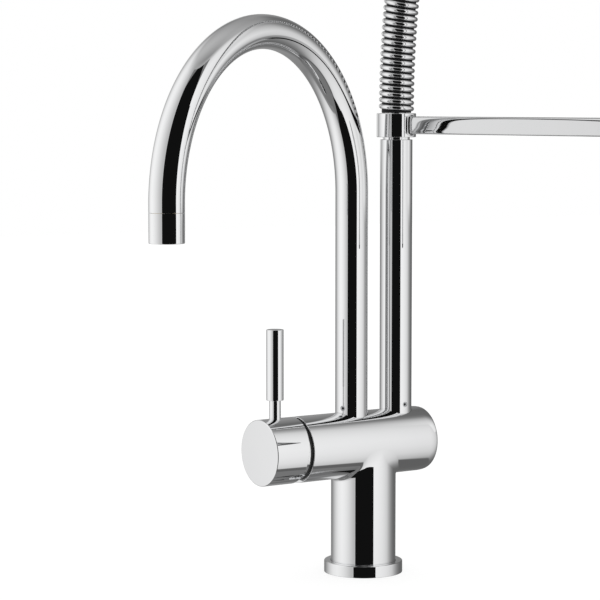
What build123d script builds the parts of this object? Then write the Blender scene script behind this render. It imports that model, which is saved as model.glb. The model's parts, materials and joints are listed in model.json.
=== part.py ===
from build123d import *

import math
import os

os.makedirs("parts", exist_ok=True)

# Kitchen faucet with a gooseneck spout and a pull-down spray on a sprung hose.
# Sizes are in millimetres. The origin is on the deck, on the column's axis, with +Z up.
# The barrel lies along X. Its lever end is at -X, and the user stands on the -Y side.

UP = (0, 0, 1)
ALONG_BARREL = (1, 0, 0)
ACROSS = (0, 1, 0)

# Driving dimensions
FACE_GAP = 0.3
RUNNING_FIT = 0.05
OVERCUT = 1.0
DECK_THICKNESS = 30.0

COLUMN_RADIUS = 24.1
COLUMN_FOOT = 2.5
FLANGE_RADIUS = 29.2
FLANGE_HEIGHT = 8.7
FLANGE_EDGE = 0.9
FLANGE_MOUTH = 0.6

BARREL_RADIUS = 24.3
BARREL_HEIGHT = 96.3
BARREL_OPEN_END = -61.0
BARREL_FAR_END = 51.9
BARREL_OPEN_EDGE = 0.4
BARREL_FAR_EDGE = 2.0
CROTCH_FILLET = 5.0

TUBE_RADIUS = 12.0
TUBE_WALL = 1.5
TUBE_BORE = TUBE_RADIUS - TUBE_WALL

SPOUT_X = -11.1
SPOUT_HEADING = 202.5
SPOUT_STRAIGHT_TOP = 283.0
SPOUT_ARCH_RADIUS = 115.0
SPOUT_END = 277.5
AERATOR_TOP = 277.1
AERATOR_FOOT = 257.0

RISER_X = 29.6
RISER_TOP = 321.5
ARM_HEADING = 280.5
ARM_LOW = 325.4
ARM_HIGH = 339.0
ARM_THICKNESS = 4.5
ARM_EDGE = 1.2
ARM_ROOT_FILLET = 1.4
COLLAR_RADIUS = 14.6
COLLAR_FOOT = 323.3
COLLAR_TOP = 340.9
COLLAR_CHAMFER = 0.5

SPRING_RADIUS = 13.05
SPRING_WIRE = 4.4
HOSE_RADIUS = 7.5
HOSE_BORE = 4.5

# The spring's bends, from the collar to the spray: radius, and the turn from upright at each end.
# They are mirrored past the top, apart from the last one.
RISING_BENDS = ((700.0, 0.0, 7.0), (200.0, 7.0, 37.0), (91.1, 37.0, 90.0))
FALLING_BENDS = ((91.1, 90.0, 143.0), (200.0, 143.0, 173.0), (500.0, 173.0, 180.0))

LEVER_X = -79.2
PIVOT_X = -57.0
CAP_RADIUS = 24.2
CAP_FACE = -92.9
CAP_EDGE = 0.8
CAP_RIM_MIDDLE = -65.5
CAP_RIM_SLOPE = 5.0 / 48.4
LEVER_RADIUS = 4.25
GRIP_RADIUS = 6.3
GRIP_FOOT = 134.0
GRIP_TOP = 185.5
GRIP_CHAMFER = 0.5


def along(origin, direction):
    """Plane with its Y axis along a direction, so that pieces can be turned about that axis."""
    aim = Vector(*direction).normalized()
    helper = Vector(1, 0, 0) if abs(aim.Z) > 0.9 else Vector(0, 0, 1)
    side = helper - aim * helper.dot(aim)
    return Plane(origin=origin, x_dir=side, z_dir=side.cross(aim))


def turned(axis_plane, outline, mode=Mode.ADD):
    """Turn an outline of (radius, station) points a full turn about the plane's Y axis."""
    with BuildSketch(axis_plane) as section:
        with BuildLine():
            Polyline(*outline, close=True)
        make_face()
    revolve(section.sketch, axis=Axis(axis_plane.origin, axis_plane.y_dir), mode=mode)


def ring(axis_plane, outer, inner, start, end, mode=Mode.ADD):
    """A plain ring, or a plain cylinder where the inner radius is 0."""
    turned(axis_plane, [(inner, start), (outer, start), (outer, end), (inner, end)], mode)


def bore(axis_plane, radius, start, end):
    """Cut a round hole about the plane's Y axis."""
    ring(axis_plane, radius, 0, start, end, Mode.SUBTRACT)


def coil(axis_plane, mean_radius, wire_radius, pitch, start, end):
    """A round wire wound about the plane's Y axis."""
    foot = axis_plane.origin + axis_plane.y_dir * start
    with BuildLine() as winding:
        Helix(pitch, end - start, mean_radius, center=foot, direction=axis_plane.y_dir)
    with BuildSketch(Plane(origin=winding.line @ 0, z_dir=winding.line % 0)) as wire:
        Circle(wire_radius)
    sweep(wire.sketch, path=winding.line, is_frenet=True)


def hex_socket(axis_plane, across_flats, start, end):
    """Cut a hexagonal socket about the plane's Y axis."""
    mouth = Plane(
        origin=axis_plane.origin + axis_plane.y_dir * start,
        x_dir=axis_plane.x_dir,
        z_dir=axis_plane.y_dir,
    )
    with BuildSketch(mouth) as key:
        RegularPolygon(across_flats / 2, 6, major_radius=False)
    extrude(key.sketch, amount=end - start, mode=Mode.SUBTRACT)


def heading_vector(degrees):
    """Level direction at an angle from +X."""
    return Vector(math.cos(math.radians(degrees)), math.sin(math.radians(degrees)), 0)


def standing_plane(x, direction):
    """Upright plane through an axis of the barrel, with X outward and Y up."""
    return Plane(origin=(x, 0, 0), x_dir=direction, z_dir=direction.cross(Vector(0, 0, 1)))


def bend_points(foot, bends):
    """Start, middle and end of each bend, as (out, height) points in the arm's plane."""
    arcs = []
    out, height = foot
    for radius, first, last in bends:
        middle = (first + last) / 2
        points = []
        for turn in (first, middle, last):
            step_out = radius * (math.cos(math.radians(first)) - math.cos(math.radians(turn)))
            step_up = radius * (math.sin(math.radians(turn)) - math.sin(math.radians(first)))
            points.append((out + step_out, height + step_up))
        arcs.append(points)
        out, height = points[-1]
    return arcs


COLUMN = along((0, 0, 0), UP)
BARREL = along((0, 0, BARREL_HEIGHT), ALONG_BARREL)
SPOUT_FOOT = along((SPOUT_X, 0, 0), UP)
RISER = along((RISER_X, 0, 0), UP)

SPOUT_OUT = heading_vector(SPOUT_HEADING)
ARM_OUT = heading_vector(ARM_HEADING)
SPOUT_PLANE = standing_plane(SPOUT_X, SPOUT_OUT)
ARM_PLANE = standing_plane(RISER_X, ARM_OUT)

OUTLET_POINT = Vector(SPOUT_X, 0, 0) + SPOUT_OUT * (2 * SPOUT_ARCH_RADIUS)
OUTLET = along(OUTLET_POINT, UP)

SPRING_ARCS = bend_points((0, COLLAR_TOP), RISING_BENDS + FALLING_BENDS)
SPRAY_REACH, SPRING_END = SPRING_ARCS[-1][-1]
SPRAY_POINT = Vector(RISER_X, 0, 0) + ARM_OUT * SPRAY_REACH
SPRAY = along(SPRAY_POINT, UP)
print("spray axis", SPRAY_POINT, "spring end", SPRING_END, "outlet", OUTLET_POINT)
print("spring bend radii", [bend[0] for bend in RISING_BENDS + FALLING_BENDS])

# Body casting: a hollow column with a cross barrel, its sockets and its water ways
CAVITY_RADIUS = 19.0
WEB_BOTTOM = 34.0
INLET_X = -10.0
INLET_Y = 9.5
INLET_THREAD_RADIUS = 4.5
INLET_THREAD_TOP = 46.0
WATERWAY_RADIUS = 3.2
SIDE_WAY_Y = 8.5
SIDE_WAY_DROP = 8.2
MIXED_WAY_RADIUS = 4.5
MIXED_WAY_RISE = 6.7
SEAT_X = -31.0
CARTRIDGE_BORE = 17.6
NUT_SEAT_X = -52.0
NUT_BORE = 19.35
CHAMBER_RADIUS = 7.5
CHAMBER_START = -20.0
DIVERTER_START = -2.0
DIVERTER_BORE = 9.0
PLUG_SEAT = 40.0
PLUG_THREAD = 11.5
PLUG_RECESS = 14.5
PLUG_FLANGE_SEAT = 48.9
SOCKET_BORE = 9.5
SOCKET_BOTTOM = 101.0
SOCKET_SHOULDER = 114.0
SPOUT_SOCKET_RADIUS = 12.25
RISER_SOCKET_RADIUS = 12.1
STUD_X = 7.0
STUD_Y = 12.5
STUD_RADIUS = 3.0
STUD_TOP = 44.0
RETAINER_HEIGHT = 112.0
RETAINER_RADIUS = 1.5
ABOVE_BODY = 130.0

SEAT_WAYS = (
    (SIDE_WAY_Y, -SIDE_WAY_DROP, WATERWAY_RADIUS),
    (-SIDE_WAY_Y, -SIDE_WAY_DROP, WATERWAY_RADIUS),
    (0, MIXED_WAY_RISE, MIXED_WAY_RADIUS),
)

with BuildPart() as body_casting:
    ring(COLUMN, COLUMN_RADIUS, 0, COLUMN_FOOT, BARREL_HEIGHT)
    ring(BARREL, BARREL_RADIUS, 0, BARREL_OPEN_END, BARREL_FAR_END)
    fillet(body_casting.edges().filter_by(GeomType.BSPLINE), CROTCH_FILLET)
    barrel_ends = body_casting.edges().filter_by(GeomType.CIRCLE).sort_by(Axis.X)
    fillet(barrel_ends[-1], BARREL_FAR_EDGE)
    fillet(barrel_ends[0], BARREL_OPEN_EDGE)
    bore(COLUMN, CAVITY_RADIUS, COLUMN_FOOT - OVERCUT, WEB_BOTTOM)
    for side in (1, -1):
        inlet = along((INLET_X, side * INLET_Y, 0), UP)
        bore(inlet, INLET_THREAD_RADIUS, WEB_BOTTOM - OVERCUT, INLET_THREAD_TOP)
        bore(inlet, WATERWAY_RADIUS, INLET_THREAD_TOP - OVERCUT, BARREL_HEIGHT - SIDE_WAY_DROP)
        side_way = along((0, side * SIDE_WAY_Y, BARREL_HEIGHT - SIDE_WAY_DROP), ALONG_BARREL)
        bore(side_way, WATERWAY_RADIUS, SEAT_X - OVERCUT, INLET_X + WATERWAY_RADIUS)
        stud_hole = along((STUD_X, side * STUD_Y, 0), UP)
        bore(stud_hole, STUD_RADIUS, WEB_BOTTOM - OVERCUT, STUD_TOP)
    mixed_way = along((0, 0, BARREL_HEIGHT + MIXED_WAY_RISE), ALONG_BARREL)
    bore(mixed_way, MIXED_WAY_RADIUS, SEAT_X - OVERCUT, CHAMBER_START + MIXED_WAY_RADIUS)
    bore(BARREL, NUT_BORE, BARREL_OPEN_END - OVERCUT, NUT_SEAT_X)
    bore(BARREL, CARTRIDGE_BORE, NUT_SEAT_X - OVERCUT, SEAT_X)
    bore(BARREL, CHAMBER_RADIUS, CHAMBER_START, DIVERTER_START)
    bore(BARREL, DIVERTER_BORE, DIVERTER_START, PLUG_SEAT)
    bore(BARREL, PLUG_THREAD, PLUG_SEAT, BARREL_FAR_END)
    bore(BARREL, PLUG_RECESS, PLUG_FLANGE_SEAT, BARREL_FAR_END + OVERCUT)
    for socket, mouth_radius in ((SPOUT_FOOT, SPOUT_SOCKET_RADIUS), (RISER, RISER_SOCKET_RADIUS)):
        bore(socket, SOCKET_BORE, SOCKET_BOTTOM, ABOVE_BODY)
        bore(socket, mouth_radius, SOCKET_SHOULDER, ABOVE_BODY)
    retainer_hole = along((SPOUT_X, 0, RETAINER_HEIGHT), ACROSS)
    bore(retainer_hole, RETAINER_RADIUS, SOCKET_BORE - OVERCUT, BARREL_RADIUS)
body_casting.part.label = "body_casting"
export_step(body_casting.part, "parts/body_casting.step")

# Base flange: the loose ring that the column stands in
FLANGE_BORE = COLUMN_RADIUS + 0.15
FLANGE_LIP = 20.0
SEAL_INNER = 23.0
SEAL_OUTER = 26.0
SEAL_DEPTH = 1.8

with BuildPart() as base_flange:
    ring(COLUMN, FLANGE_RADIUS, 0, 0, FLANGE_HEIGHT)
    fillet(base_flange.edges().sort_by(Axis.Z)[-1], FLANGE_EDGE)
    bore(COLUMN, FLANGE_BORE, COLUMN_FOOT, FLANGE_HEIGHT)
    chamfer(base_flange.edges().group_by(Axis.Z)[-1].sort_by(SortBy.RADIUS)[0], FLANGE_MOUTH)
    bore(COLUMN, FLANGE_LIP, 0, COLUMN_FOOT)
    ring(COLUMN, SEAL_OUTER, SEAL_INNER, 0, SEAL_DEPTH, Mode.SUBTRACT)
base_flange.part.label = "base_flange"
export_step(base_flange.part, "parts/base_flange.step")

# Under-deck clamp: studs, a horseshoe plate that the supply hoses pass beside, and its gasket
CLAMP_RADIUS = 24.0
CLAMP_SLOT_END = -3.0
CLAMP_SLOT_HALF_WIDTH = 15.0
CLAMP_GASKET_THICKNESS = 2.0
CLAMP_PLATE_THICKNESS = 3.0
STUD_CLEARANCE_RADIUS = 3.2
STUD_FOOT = -55.0
STUD_CHAMFER = 0.6
NUT_HEIGHT = 5.0
NUT_ACROSS_FLATS = 10.0
CLAMP_TOP = -DECK_THICKNESS
PLATE_TOP = CLAMP_TOP - CLAMP_GASKET_THICKNESS
NUT_TOP = PLATE_TOP - CLAMP_PLATE_THICKNESS


def horseshoe(top, thickness):
    """A round plate with a wide slot to its -X edge and two stud holes."""
    slot_length = CLAMP_RADIUS + CLAMP_SLOT_END
    with BuildSketch(Plane.XY.offset(top - thickness)) as outline:
        Circle(CLAMP_RADIUS)
        with Locations((CLAMP_SLOT_END - slot_length, 0)):
            Rectangle(2 * slot_length, 2 * CLAMP_SLOT_HALF_WIDTH, mode=Mode.SUBTRACT)
        with Locations((STUD_X, STUD_Y), (STUD_X, -STUD_Y)):
            Circle(STUD_CLEARANCE_RADIUS, mode=Mode.SUBTRACT)
    extrude(outline.sketch, amount=thickness)


with BuildPart() as deck_gaskets:
    ring(COLUMN, SEAL_OUTER, SEAL_INNER, 0, SEAL_DEPTH)
    horseshoe(CLAMP_TOP, CLAMP_GASKET_THICKNESS)
deck_gaskets.part.label = "deck_gaskets"
export_step(deck_gaskets.part, "parts/deck_gaskets.step")

with BuildPart() as clamp_plate:
    horseshoe(PLATE_TOP, CLAMP_PLATE_THICKNESS)
clamp_plate.part.label = "clamp_plate"
export_step(clamp_plate.part, "parts/clamp_plate.step")

with BuildPart() as mounting_studs:
    for side in (1, -1):
        stud_axis = along((STUD_X, side * STUD_Y, 0), UP)
        ring(stud_axis, STUD_RADIUS, 0, STUD_FOOT, STUD_TOP)
    chamfer(mounting_studs.edges().group_by(Axis.Z)[0], STUD_CHAMFER)
mounting_studs.part.label = "mounting_studs"
export_step(mounting_studs.part, "parts/mounting_studs.step")

with BuildPart() as stud_nuts:
    with BuildSketch(Plane.XY.offset(NUT_TOP - NUT_HEIGHT)):
        with Locations((STUD_X, STUD_Y), (STUD_X, -STUD_Y)):
            RegularPolygon(NUT_ACROSS_FLATS / 2, 6, major_radius=False)
            Circle(STUD_RADIUS, mode=Mode.SUBTRACT)
    extrude(amount=NUT_HEIGHT)
stud_nuts.part.label = "stud_nuts"
export_step(stud_nuts.part, "parts/stud_nuts.step")

# End plug: closes the barrel behind the diverter
PLUG_INNER_END = 41.0
PLUG_FLANGE_RADIUS = 14.2
PLUG_FACE = 51.4
PLUG_CHAMFER = 0.5
PLUG_KEY = 10.0
PLUG_KEY_DEPTH = 6.0

with BuildPart() as end_plug:
    ring(BARREL, PLUG_THREAD, 0, PLUG_INNER_END, PLUG_FLANGE_SEAT)
    ring(BARREL, PLUG_FLANGE_RADIUS, 0, PLUG_FLANGE_SEAT, PLUG_FACE)
    chamfer(end_plug.edges().sort_by(Axis.X)[-1], PLUG_CHAMFER)
    hex_socket(BARREL, PLUG_KEY, PLUG_FACE - PLUG_KEY_DEPTH, PLUG_FACE + OVERCUT)
end_plug.part.label = "end_plug"
export_step(end_plug.part, "parts/end_plug.step")

# Diverter: an automatic piston that sends the water to the spray while its trigger is pressed
SLEEVE_START = 0.0
SLEEVE_END = 20.0
SLEEVE_BORE = 6.4
SLEEVE_LIP = 4.2
SLEEVE_LIP_START = 18.0
SLEEVE_WINDOW_X = 11.5
SLEEVE_WINDOW_RADIUS = 2.0
SLEEVE_RING_STARTS = (2.0, 14.5)
RING_WIDTH = 1.8
SLEEVE_RING_ROOT = 8.0
PISTON_ROD_RADIUS = 2.0
PISTON_TAIL_X = -8.0
PISTON_TAIL_RADIUS = 4.5
PISTON_TAIL_END = -6.0
PISTON_HEAD_X = 2.5
PISTON_HEAD_LENGTH = 3.5
PISTON_ROD_END = 13.5
COIL_WIRE_RADIUS = 0.45
COIL_END_GAP = 0.1
DIVERTER_COIL_RADIUS = 5.2
DIVERTER_COIL_PITCH = 2.1

with BuildPart() as diverter_sleeve:
    ring(BARREL, DIVERTER_BORE, SLEEVE_BORE, SLEEVE_START, SLEEVE_END)
    ring(BARREL, SLEEVE_BORE, SLEEVE_LIP, SLEEVE_LIP_START, SLEEVE_END)
    for ring_start in SLEEVE_RING_STARTS:
        groove_end = ring_start + RING_WIDTH
        ring(BARREL, DIVERTER_BORE, SLEEVE_RING_ROOT, ring_start, groove_end, Mode.SUBTRACT)
    for direction in (UP, ACROSS):
        window = along((SLEEVE_WINDOW_X, 0, BARREL_HEIGHT), direction)
        bore(window, SLEEVE_WINDOW_RADIUS, -DIVERTER_BORE - OVERCUT, DIVERTER_BORE + OVERCUT)
diverter_sleeve.part.label = "diverter_sleeve"
export_step(diverter_sleeve.part, "parts/diverter_sleeve.step")

with BuildPart() as diverter_piston:
    ring(BARREL, PISTON_ROD_RADIUS, 0, PISTON_TAIL_X, PISTON_ROD_END)
    ring(BARREL, PISTON_TAIL_RADIUS, 0, PISTON_TAIL_X, PISTON_TAIL_END)
    head_end = PISTON_HEAD_X + PISTON_HEAD_LENGTH
    ring(BARREL, SLEEVE_BORE - RUNNING_FIT, 0, PISTON_HEAD_X, head_end)
diverter_piston.part.label = "diverter_piston"
export_step(diverter_piston.part, "parts/diverter_piston.step")

with BuildPart() as diverter_spring:
    coil_start = head_end + COIL_WIRE_RADIUS + COIL_END_GAP
    coil_end = SLEEVE_LIP_START - COIL_WIRE_RADIUS - COIL_END_GAP
    coil(
        BARREL,
        DIVERTER_COIL_RADIUS,
        COIL_WIRE_RADIUS,
        DIVERTER_COIL_PITCH,
        coil_start,
        coil_end,
    )
diverter_spring.part.label = "diverter_spring"
export_step(diverter_spring.part, "parts/diverter_spring.step")

# Riser nipple: screwed into the barrel, it holds the spray riser's foot
NIPPLE_FOOT = 101.5
NIPPLE_BORE = 7.0
NIPPLE_TOP = 135.0
TUBE_RING_ROOT = 8.2
RISER_RING_STARTS = (103.0, 107.0)
GRUB_HEIGHT = 124.3
GRUB_RADIUS = 2.0
GRUB_TIP = 8.7
GRUB_END = 11.7
GRUB_SOCKET = 2.0
GRUB_SOCKET_DEPTH = 1.6
TO_USER = (0, -1, 0)
RISER_GRUB = along((RISER_X, 0, GRUB_HEIGHT), TO_USER)
SPOUT_GRUB = along((SPOUT_X, 0, GRUB_HEIGHT), SPOUT_OUT)


def grub_screw(axis_plane, radius, tip, end, across_flats, socket_depth):
    """A headless screw along the plane's Y axis, with a hexagonal socket in its outer end."""
    ring(axis_plane, radius, 0, tip, end)
    hex_socket(axis_plane, across_flats, end - socket_depth, end + OVERCUT)


with BuildPart() as riser_nipple:
    ring(RISER, SOCKET_BORE, NIPPLE_BORE, NIPPLE_FOOT, SOCKET_SHOULDER)
    ring(RISER, TUBE_BORE, NIPPLE_BORE, SOCKET_SHOULDER, NIPPLE_TOP)
    for ring_start in RISER_RING_STARTS:
        groove_end = ring_start + RING_WIDTH
        ring(RISER, SOCKET_BORE, TUBE_RING_ROOT, ring_start, groove_end, Mode.SUBTRACT)
    bore(RISER_GRUB, GRUB_RADIUS, GRUB_TIP, TUBE_RADIUS)
riser_nipple.part.label = "riser_nipple"
export_step(riser_nipple.part, "parts/riser_nipple.step")

with BuildPart() as riser_tube:
    ring(RISER, TUBE_RADIUS, TUBE_BORE, SOCKET_SHOULDER, RISER_TOP)
    bore(RISER_GRUB, GRUB_RADIUS, TUBE_BORE - OVERCUT, TUBE_RADIUS + OVERCUT)
riser_tube.part.label = "riser_tube"
export_step(riser_tube.part, "parts/riser_tube.step")

with BuildPart() as riser_grub_screw:
    grub_screw(RISER_GRUB, GRUB_RADIUS, GRUB_TIP, GRUB_END, GRUB_SOCKET, GRUB_SOCKET_DEPTH)
riser_grub_screw.part.label = "riser_grub_screw"
export_step(riser_grub_screw.part, "parts/riser_grub_screw.step")

# Seals that stay with the body: the end plug's, the diverter sleeve's and the riser nipple's
PLUG_SEAL_INNER = 9.4

with BuildPart() as body_orings:
    ring(BARREL, PLUG_THREAD, PLUG_SEAL_INNER, PLUG_SEAT, PLUG_INNER_END)
    for ring_start in SLEEVE_RING_STARTS:
        ring(BARREL, DIVERTER_BORE, SLEEVE_RING_ROOT, ring_start, ring_start + RING_WIDTH)
    for ring_start in RISER_RING_STARTS:
        ring(RISER, SOCKET_BORE, TUBE_RING_ROOT, ring_start, ring_start + RING_WIDTH)
body_orings.part.label = "body_orings"
export_step(body_orings.part, "parts/body_orings.step")

# Mixing cartridge: base, seals and fixed disc against the body's seat
BASE_X = -35.0
CARTRIDGE_RADIUS = 17.5
PORT_SEAL_DEPTH = 1.2
PORT_SEAL_WIDTH = 1.7
FIXED_DISC_X = -38.5
FIXED_DISC_RADIUS = 15.4
HOUSING_BORE = 15.5
HOUSING_WALL_X = -50.0
NECK_RADIUS = 13.5
NECK_BORE = 11.2
NECK_END = -64.0


def port_axis(across, rise):
    """Axis of one water way through the cartridge's seat."""
    return along((0, across, BARREL_HEIGHT + rise), ALONG_BARREL)


with BuildPart() as cartridge_base:
    ring(BARREL, CARTRIDGE_RADIUS, 0, BASE_X, SEAT_X)
    for across, rise, way_radius in SEAT_WAYS:
        bore(port_axis(across, rise), way_radius, BASE_X - OVERCUT, SEAT_X + OVERCUT)
        groove_radius = way_radius + PORT_SEAL_WIDTH
        bore(port_axis(across, rise), groove_radius, SEAT_X - PORT_SEAL_DEPTH, SEAT_X + OVERCUT)
cartridge_base.part.label = "cartridge_base"
export_step(cartridge_base.part, "parts/cartridge_base.step")

with BuildPart() as port_seals:
    for across, rise, way_radius in SEAT_WAYS:
        seal_radius = way_radius + PORT_SEAL_WIDTH
        ring(port_axis(across, rise), seal_radius, way_radius, SEAT_X - PORT_SEAL_DEPTH, SEAT_X)
port_seals.part.label = "port_seals"
export_step(port_seals.part, "parts/port_seals.step")

with BuildPart() as fixed_disc:
    ring(BARREL, FIXED_DISC_RADIUS, 0, FIXED_DISC_X, BASE_X)
    for across, rise, way_radius in SEAT_WAYS:
        bore(port_axis(across, rise), way_radius, FIXED_DISC_X - OVERCUT, BASE_X + OVERCUT)
fixed_disc.part.label = "fixed_disc"
export_step(fixed_disc.part, "parts/fixed_disc.step")

HOUSING_OUTLINE = [
    (HOUSING_BORE, BASE_X),
    (CARTRIDGE_RADIUS, BASE_X),
    (CARTRIDGE_RADIUS, NUT_SEAT_X),
    (NECK_RADIUS, NUT_SEAT_X),
    (NECK_RADIUS, NECK_END),
    (NECK_BORE, NECK_END),
    (NECK_BORE, HOUSING_WALL_X),
    (HOUSING_BORE, HOUSING_WALL_X),
]

with BuildPart() as cartridge_housing:
    turned(BARREL, HOUSING_OUTLINE)
cartridge_housing.part.label = "cartridge_housing"
export_step(cartridge_housing.part, "parts/cartridge_housing.step")

# Cartridge nut and the domed bonnet ring that covers it
NUT_THREAD = 19.3
NUT_INNER = 13.7
NUT_BOSS = 17.0
NUT_BOSS_END = -65.0
NUT_FLAT_GAP = 31.0
BONNET_FOOT_RADIUS = 21.8
BONNET_FOOT_END = -62.5
BONNET_SPHERE = 23.1
BONNET_FRONT = -70.5
BONNET_MOUTH = 12.5
BONNET_BORE = 17.1
BONNET_BORE_END = -65.3


def sphere_radius_at(station):
    """Radius of the bonnet's dome at a station along the barrel."""
    return math.sqrt(BONNET_SPHERE**2 - (station - PIVOT_X) ** 2)


with BuildPart() as cartridge_nut:
    ring(BARREL, NUT_THREAD, NUT_INNER, BARREL_OPEN_END, NUT_SEAT_X)
    ring(BARREL, NUT_BOSS, NUT_INNER, NUT_BOSS_END, BARREL_OPEN_END)
    with BuildSketch(Plane.YZ.offset(NUT_BOSS_END)):
        with Locations((0, BARREL_HEIGHT)):
            Rectangle(3 * NUT_BOSS, 3 * NUT_BOSS)
            Rectangle(NUT_FLAT_GAP, 3 * NUT_BOSS, mode=Mode.SUBTRACT)
    extrude(amount=BARREL_OPEN_END - NUT_BOSS_END, mode=Mode.SUBTRACT)
cartridge_nut.part.label = "cartridge_nut"
export_step(cartridge_nut.part, "parts/cartridge_nut.step")

with BuildPart() as bonnet_ring:
    with BuildSketch(BARREL):
        with BuildLine():
            Polyline(
                (sphere_radius_at(BONNET_FRONT), BONNET_FRONT),
                (BONNET_MOUTH, BONNET_FRONT),
                (BONNET_MOUTH, BONNET_BORE_END),
                (BONNET_BORE, BONNET_BORE_END),
                (BONNET_BORE, BARREL_OPEN_END),
                (BONNET_FOOT_RADIUS, BARREL_OPEN_END),
                (BONNET_FOOT_RADIUS, BONNET_FOOT_END),
                (sphere_radius_at(BONNET_FOOT_END), BONNET_FOOT_END),
            )
            dome_middle = (BONNET_FOOT_END + BONNET_FRONT) / 2
            ThreePointArc(
                (sphere_radius_at(BONNET_FOOT_END), BONNET_FOOT_END),
                (sphere_radius_at(dome_middle), dome_middle),
                (sphere_radius_at(BONNET_FRONT), BONNET_FRONT),
            )
        make_face()
    revolve(axis=Axis(BARREL.origin, BARREL.y_dir))
bonnet_ring.part.label = "bonnet_ring"
export_step(bonnet_ring.part, "parts/bonnet_ring.step")

# Rotor and pin: they turn about the barrel's axis with the lever and set the temperature
ROTOR_END = -62.0
ROTOR_FLANGE_RADIUS = 15.2
ROTOR_FLANGE_START = -47.0
ROTOR_FLANGE_LENGTH = 2.5
ROTOR_SLOT_WIDTH = 8.7
ROTOR_SLOT_HEIGHT = 13.8
PIN_RADIUS = 1.5
PIN_HALF_LENGTH = 10.6
PIVOT = along((PIVOT_X, 0, BARREL_HEIGHT), ACROSS)

with BuildPart() as rotor:
    flange_back = ROTOR_FLANGE_START - ROTOR_FLANGE_LENGTH
    ring(BARREL, NECK_BORE - RUNNING_FIT, 0, ROTOR_END, flange_back)
    ring(BARREL, ROTOR_FLANGE_RADIUS, 0, flange_back, ROTOR_FLANGE_START)
    with BuildSketch(Plane.YZ.offset(ROTOR_END)):
        with Locations((0, BARREL_HEIGHT)):
            Rectangle(ROTOR_SLOT_WIDTH, ROTOR_SLOT_HEIGHT)
    extrude(amount=ROTOR_FLANGE_START - ROTOR_END, mode=Mode.SUBTRACT)
    bore(PIVOT, PIN_RADIUS, -NECK_BORE - OVERCUT, NECK_BORE + OVERCUT)
rotor.part.label = "rotor"
export_step(rotor.part, "parts/rotor.step")

with BuildPart() as pivot_pin:
    ring(PIVOT, PIN_RADIUS, 0, -PIN_HALF_LENGTH, PIN_HALF_LENGTH)
pivot_pin.part.label = "pivot_pin"
export_step(pivot_pin.part, "parts/pivot_pin.step")

# Moving disc and carrier: the lever's ball slides them to open the water
DISC_RADIUS = 11.0
DISC_GAP = 0.05
DISC_END = -42.0
DISC_POCKET_RADIUS = 7.5
DISC_POCKET_DEPTH = 1.8
CARRIER_END = -46.5
BALL_X = -45.0
BALL_RADIUS = 2.5
BALL_HOLE = 2.7

with BuildPart() as moving_disc:
    disc_face = FIXED_DISC_X - DISC_GAP
    ring(BARREL, DISC_RADIUS, 0, DISC_END, disc_face)
    bore(BARREL, DISC_POCKET_RADIUS, disc_face - DISC_POCKET_DEPTH, disc_face + OVERCUT)
moving_disc.part.label = "moving_disc"
export_step(moving_disc.part, "parts/moving_disc.step")

with BuildPart() as disc_carrier:
    ring(BARREL, DISC_RADIUS, BALL_HOLE, CARRIER_END, DISC_END)
disc_carrier.part.label = "disc_carrier"
export_step(disc_carrier.part, "parts/disc_carrier.step")

# Lever: spindle, cap, stem and grip
SPINDLE_NECK_RADIUS = 1.8
SPINDLE_RADIUS = 4.0
SPINDLE_NECK_END = -53.0
SPINDLE_END = -86.0
STEM_THREAD = 2.5
STEM_TIP = 94.8
STEM_SHOULDER = 103.5
STEM_TOP = 165.0
CAP_INNER = 21.5
CAP_FACE_WALL = 2.0
CAP_CLEAR_SPHERE = BONNET_SPHERE + 0.4
HUB_RADIUS = 9.0
HUB_BACK = -77.0
LEVER = along((LEVER_X, 0, 0), UP)

with BuildPart() as spindle:
    with Locations((BALL_X, 0, BARREL_HEIGHT)):
        Sphere(BALL_RADIUS)
    ring(BARREL, SPINDLE_NECK_RADIUS, 0, SPINDLE_NECK_END, BALL_X)
    ring(BARREL, SPINDLE_RADIUS, 0, SPINDLE_END, SPINDLE_NECK_END)
    bore(PIVOT, PIN_RADIUS + RUNNING_FIT, -SPINDLE_RADIUS - OVERCUT, SPINDLE_RADIUS + OVERCUT)
    bore(LEVER, STEM_THREAD, STEM_TIP, BARREL_HEIGHT + SPINDLE_RADIUS + OVERCUT)
spindle.part.label = "spindle"
export_step(spindle.part, "parts/spindle.step")

with BuildPart() as handle_cap:
    ring(BARREL, CAP_RADIUS, 0, CAP_FACE, BARREL_OPEN_END)
    fillet(handle_cap.edges().filter_by(GeomType.CIRCLE).sort_by(Axis.X)[0], CAP_EDGE)
    rim_normal = Vector(1, 0, -CAP_RIM_SLOPE)
    rim_plane = Plane(
        origin=(CAP_RIM_MIDDLE, 0, BARREL_HEIGHT), x_dir=(0, 1, 0), z_dir=rim_normal
    )
    split(bisect_by=rim_plane, keep=Keep.BOTTOM)
    bore(BARREL, CAP_INNER, CAP_FACE + CAP_FACE_WALL, BARREL_OPEN_END)
    with Locations((PIVOT_X, 0, BARREL_HEIGHT)):
        Sphere(CAP_CLEAR_SPHERE, mode=Mode.SUBTRACT)
    ring(BARREL, HUB_RADIUS, 0, CAP_FACE + CAP_FACE_WALL, HUB_BACK)
    bore(BARREL, SPINDLE_RADIUS, SPINDLE_END, HUB_BACK + OVERCUT)
    bore(LEVER, STEM_THREAD, BARREL_HEIGHT, STEM_SHOULDER)
    bore(LEVER, LEVER_RADIUS, STEM_SHOULDER, BARREL_HEIGHT + CAP_RADIUS + OVERCUT)
handle_cap.part.label = "handle_cap"
export_step(handle_cap.part, "parts/handle_cap.step")

with BuildPart() as lever_stem:
    ring(LEVER, STEM_THREAD, 0, STEM_TIP, STEM_SHOULDER)
    ring(LEVER, LEVER_RADIUS, 0, STEM_SHOULDER, STEM_TOP)
lever_stem.part.label = "lever_stem"
export_step(lever_stem.part, "parts/lever_stem.step")

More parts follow.
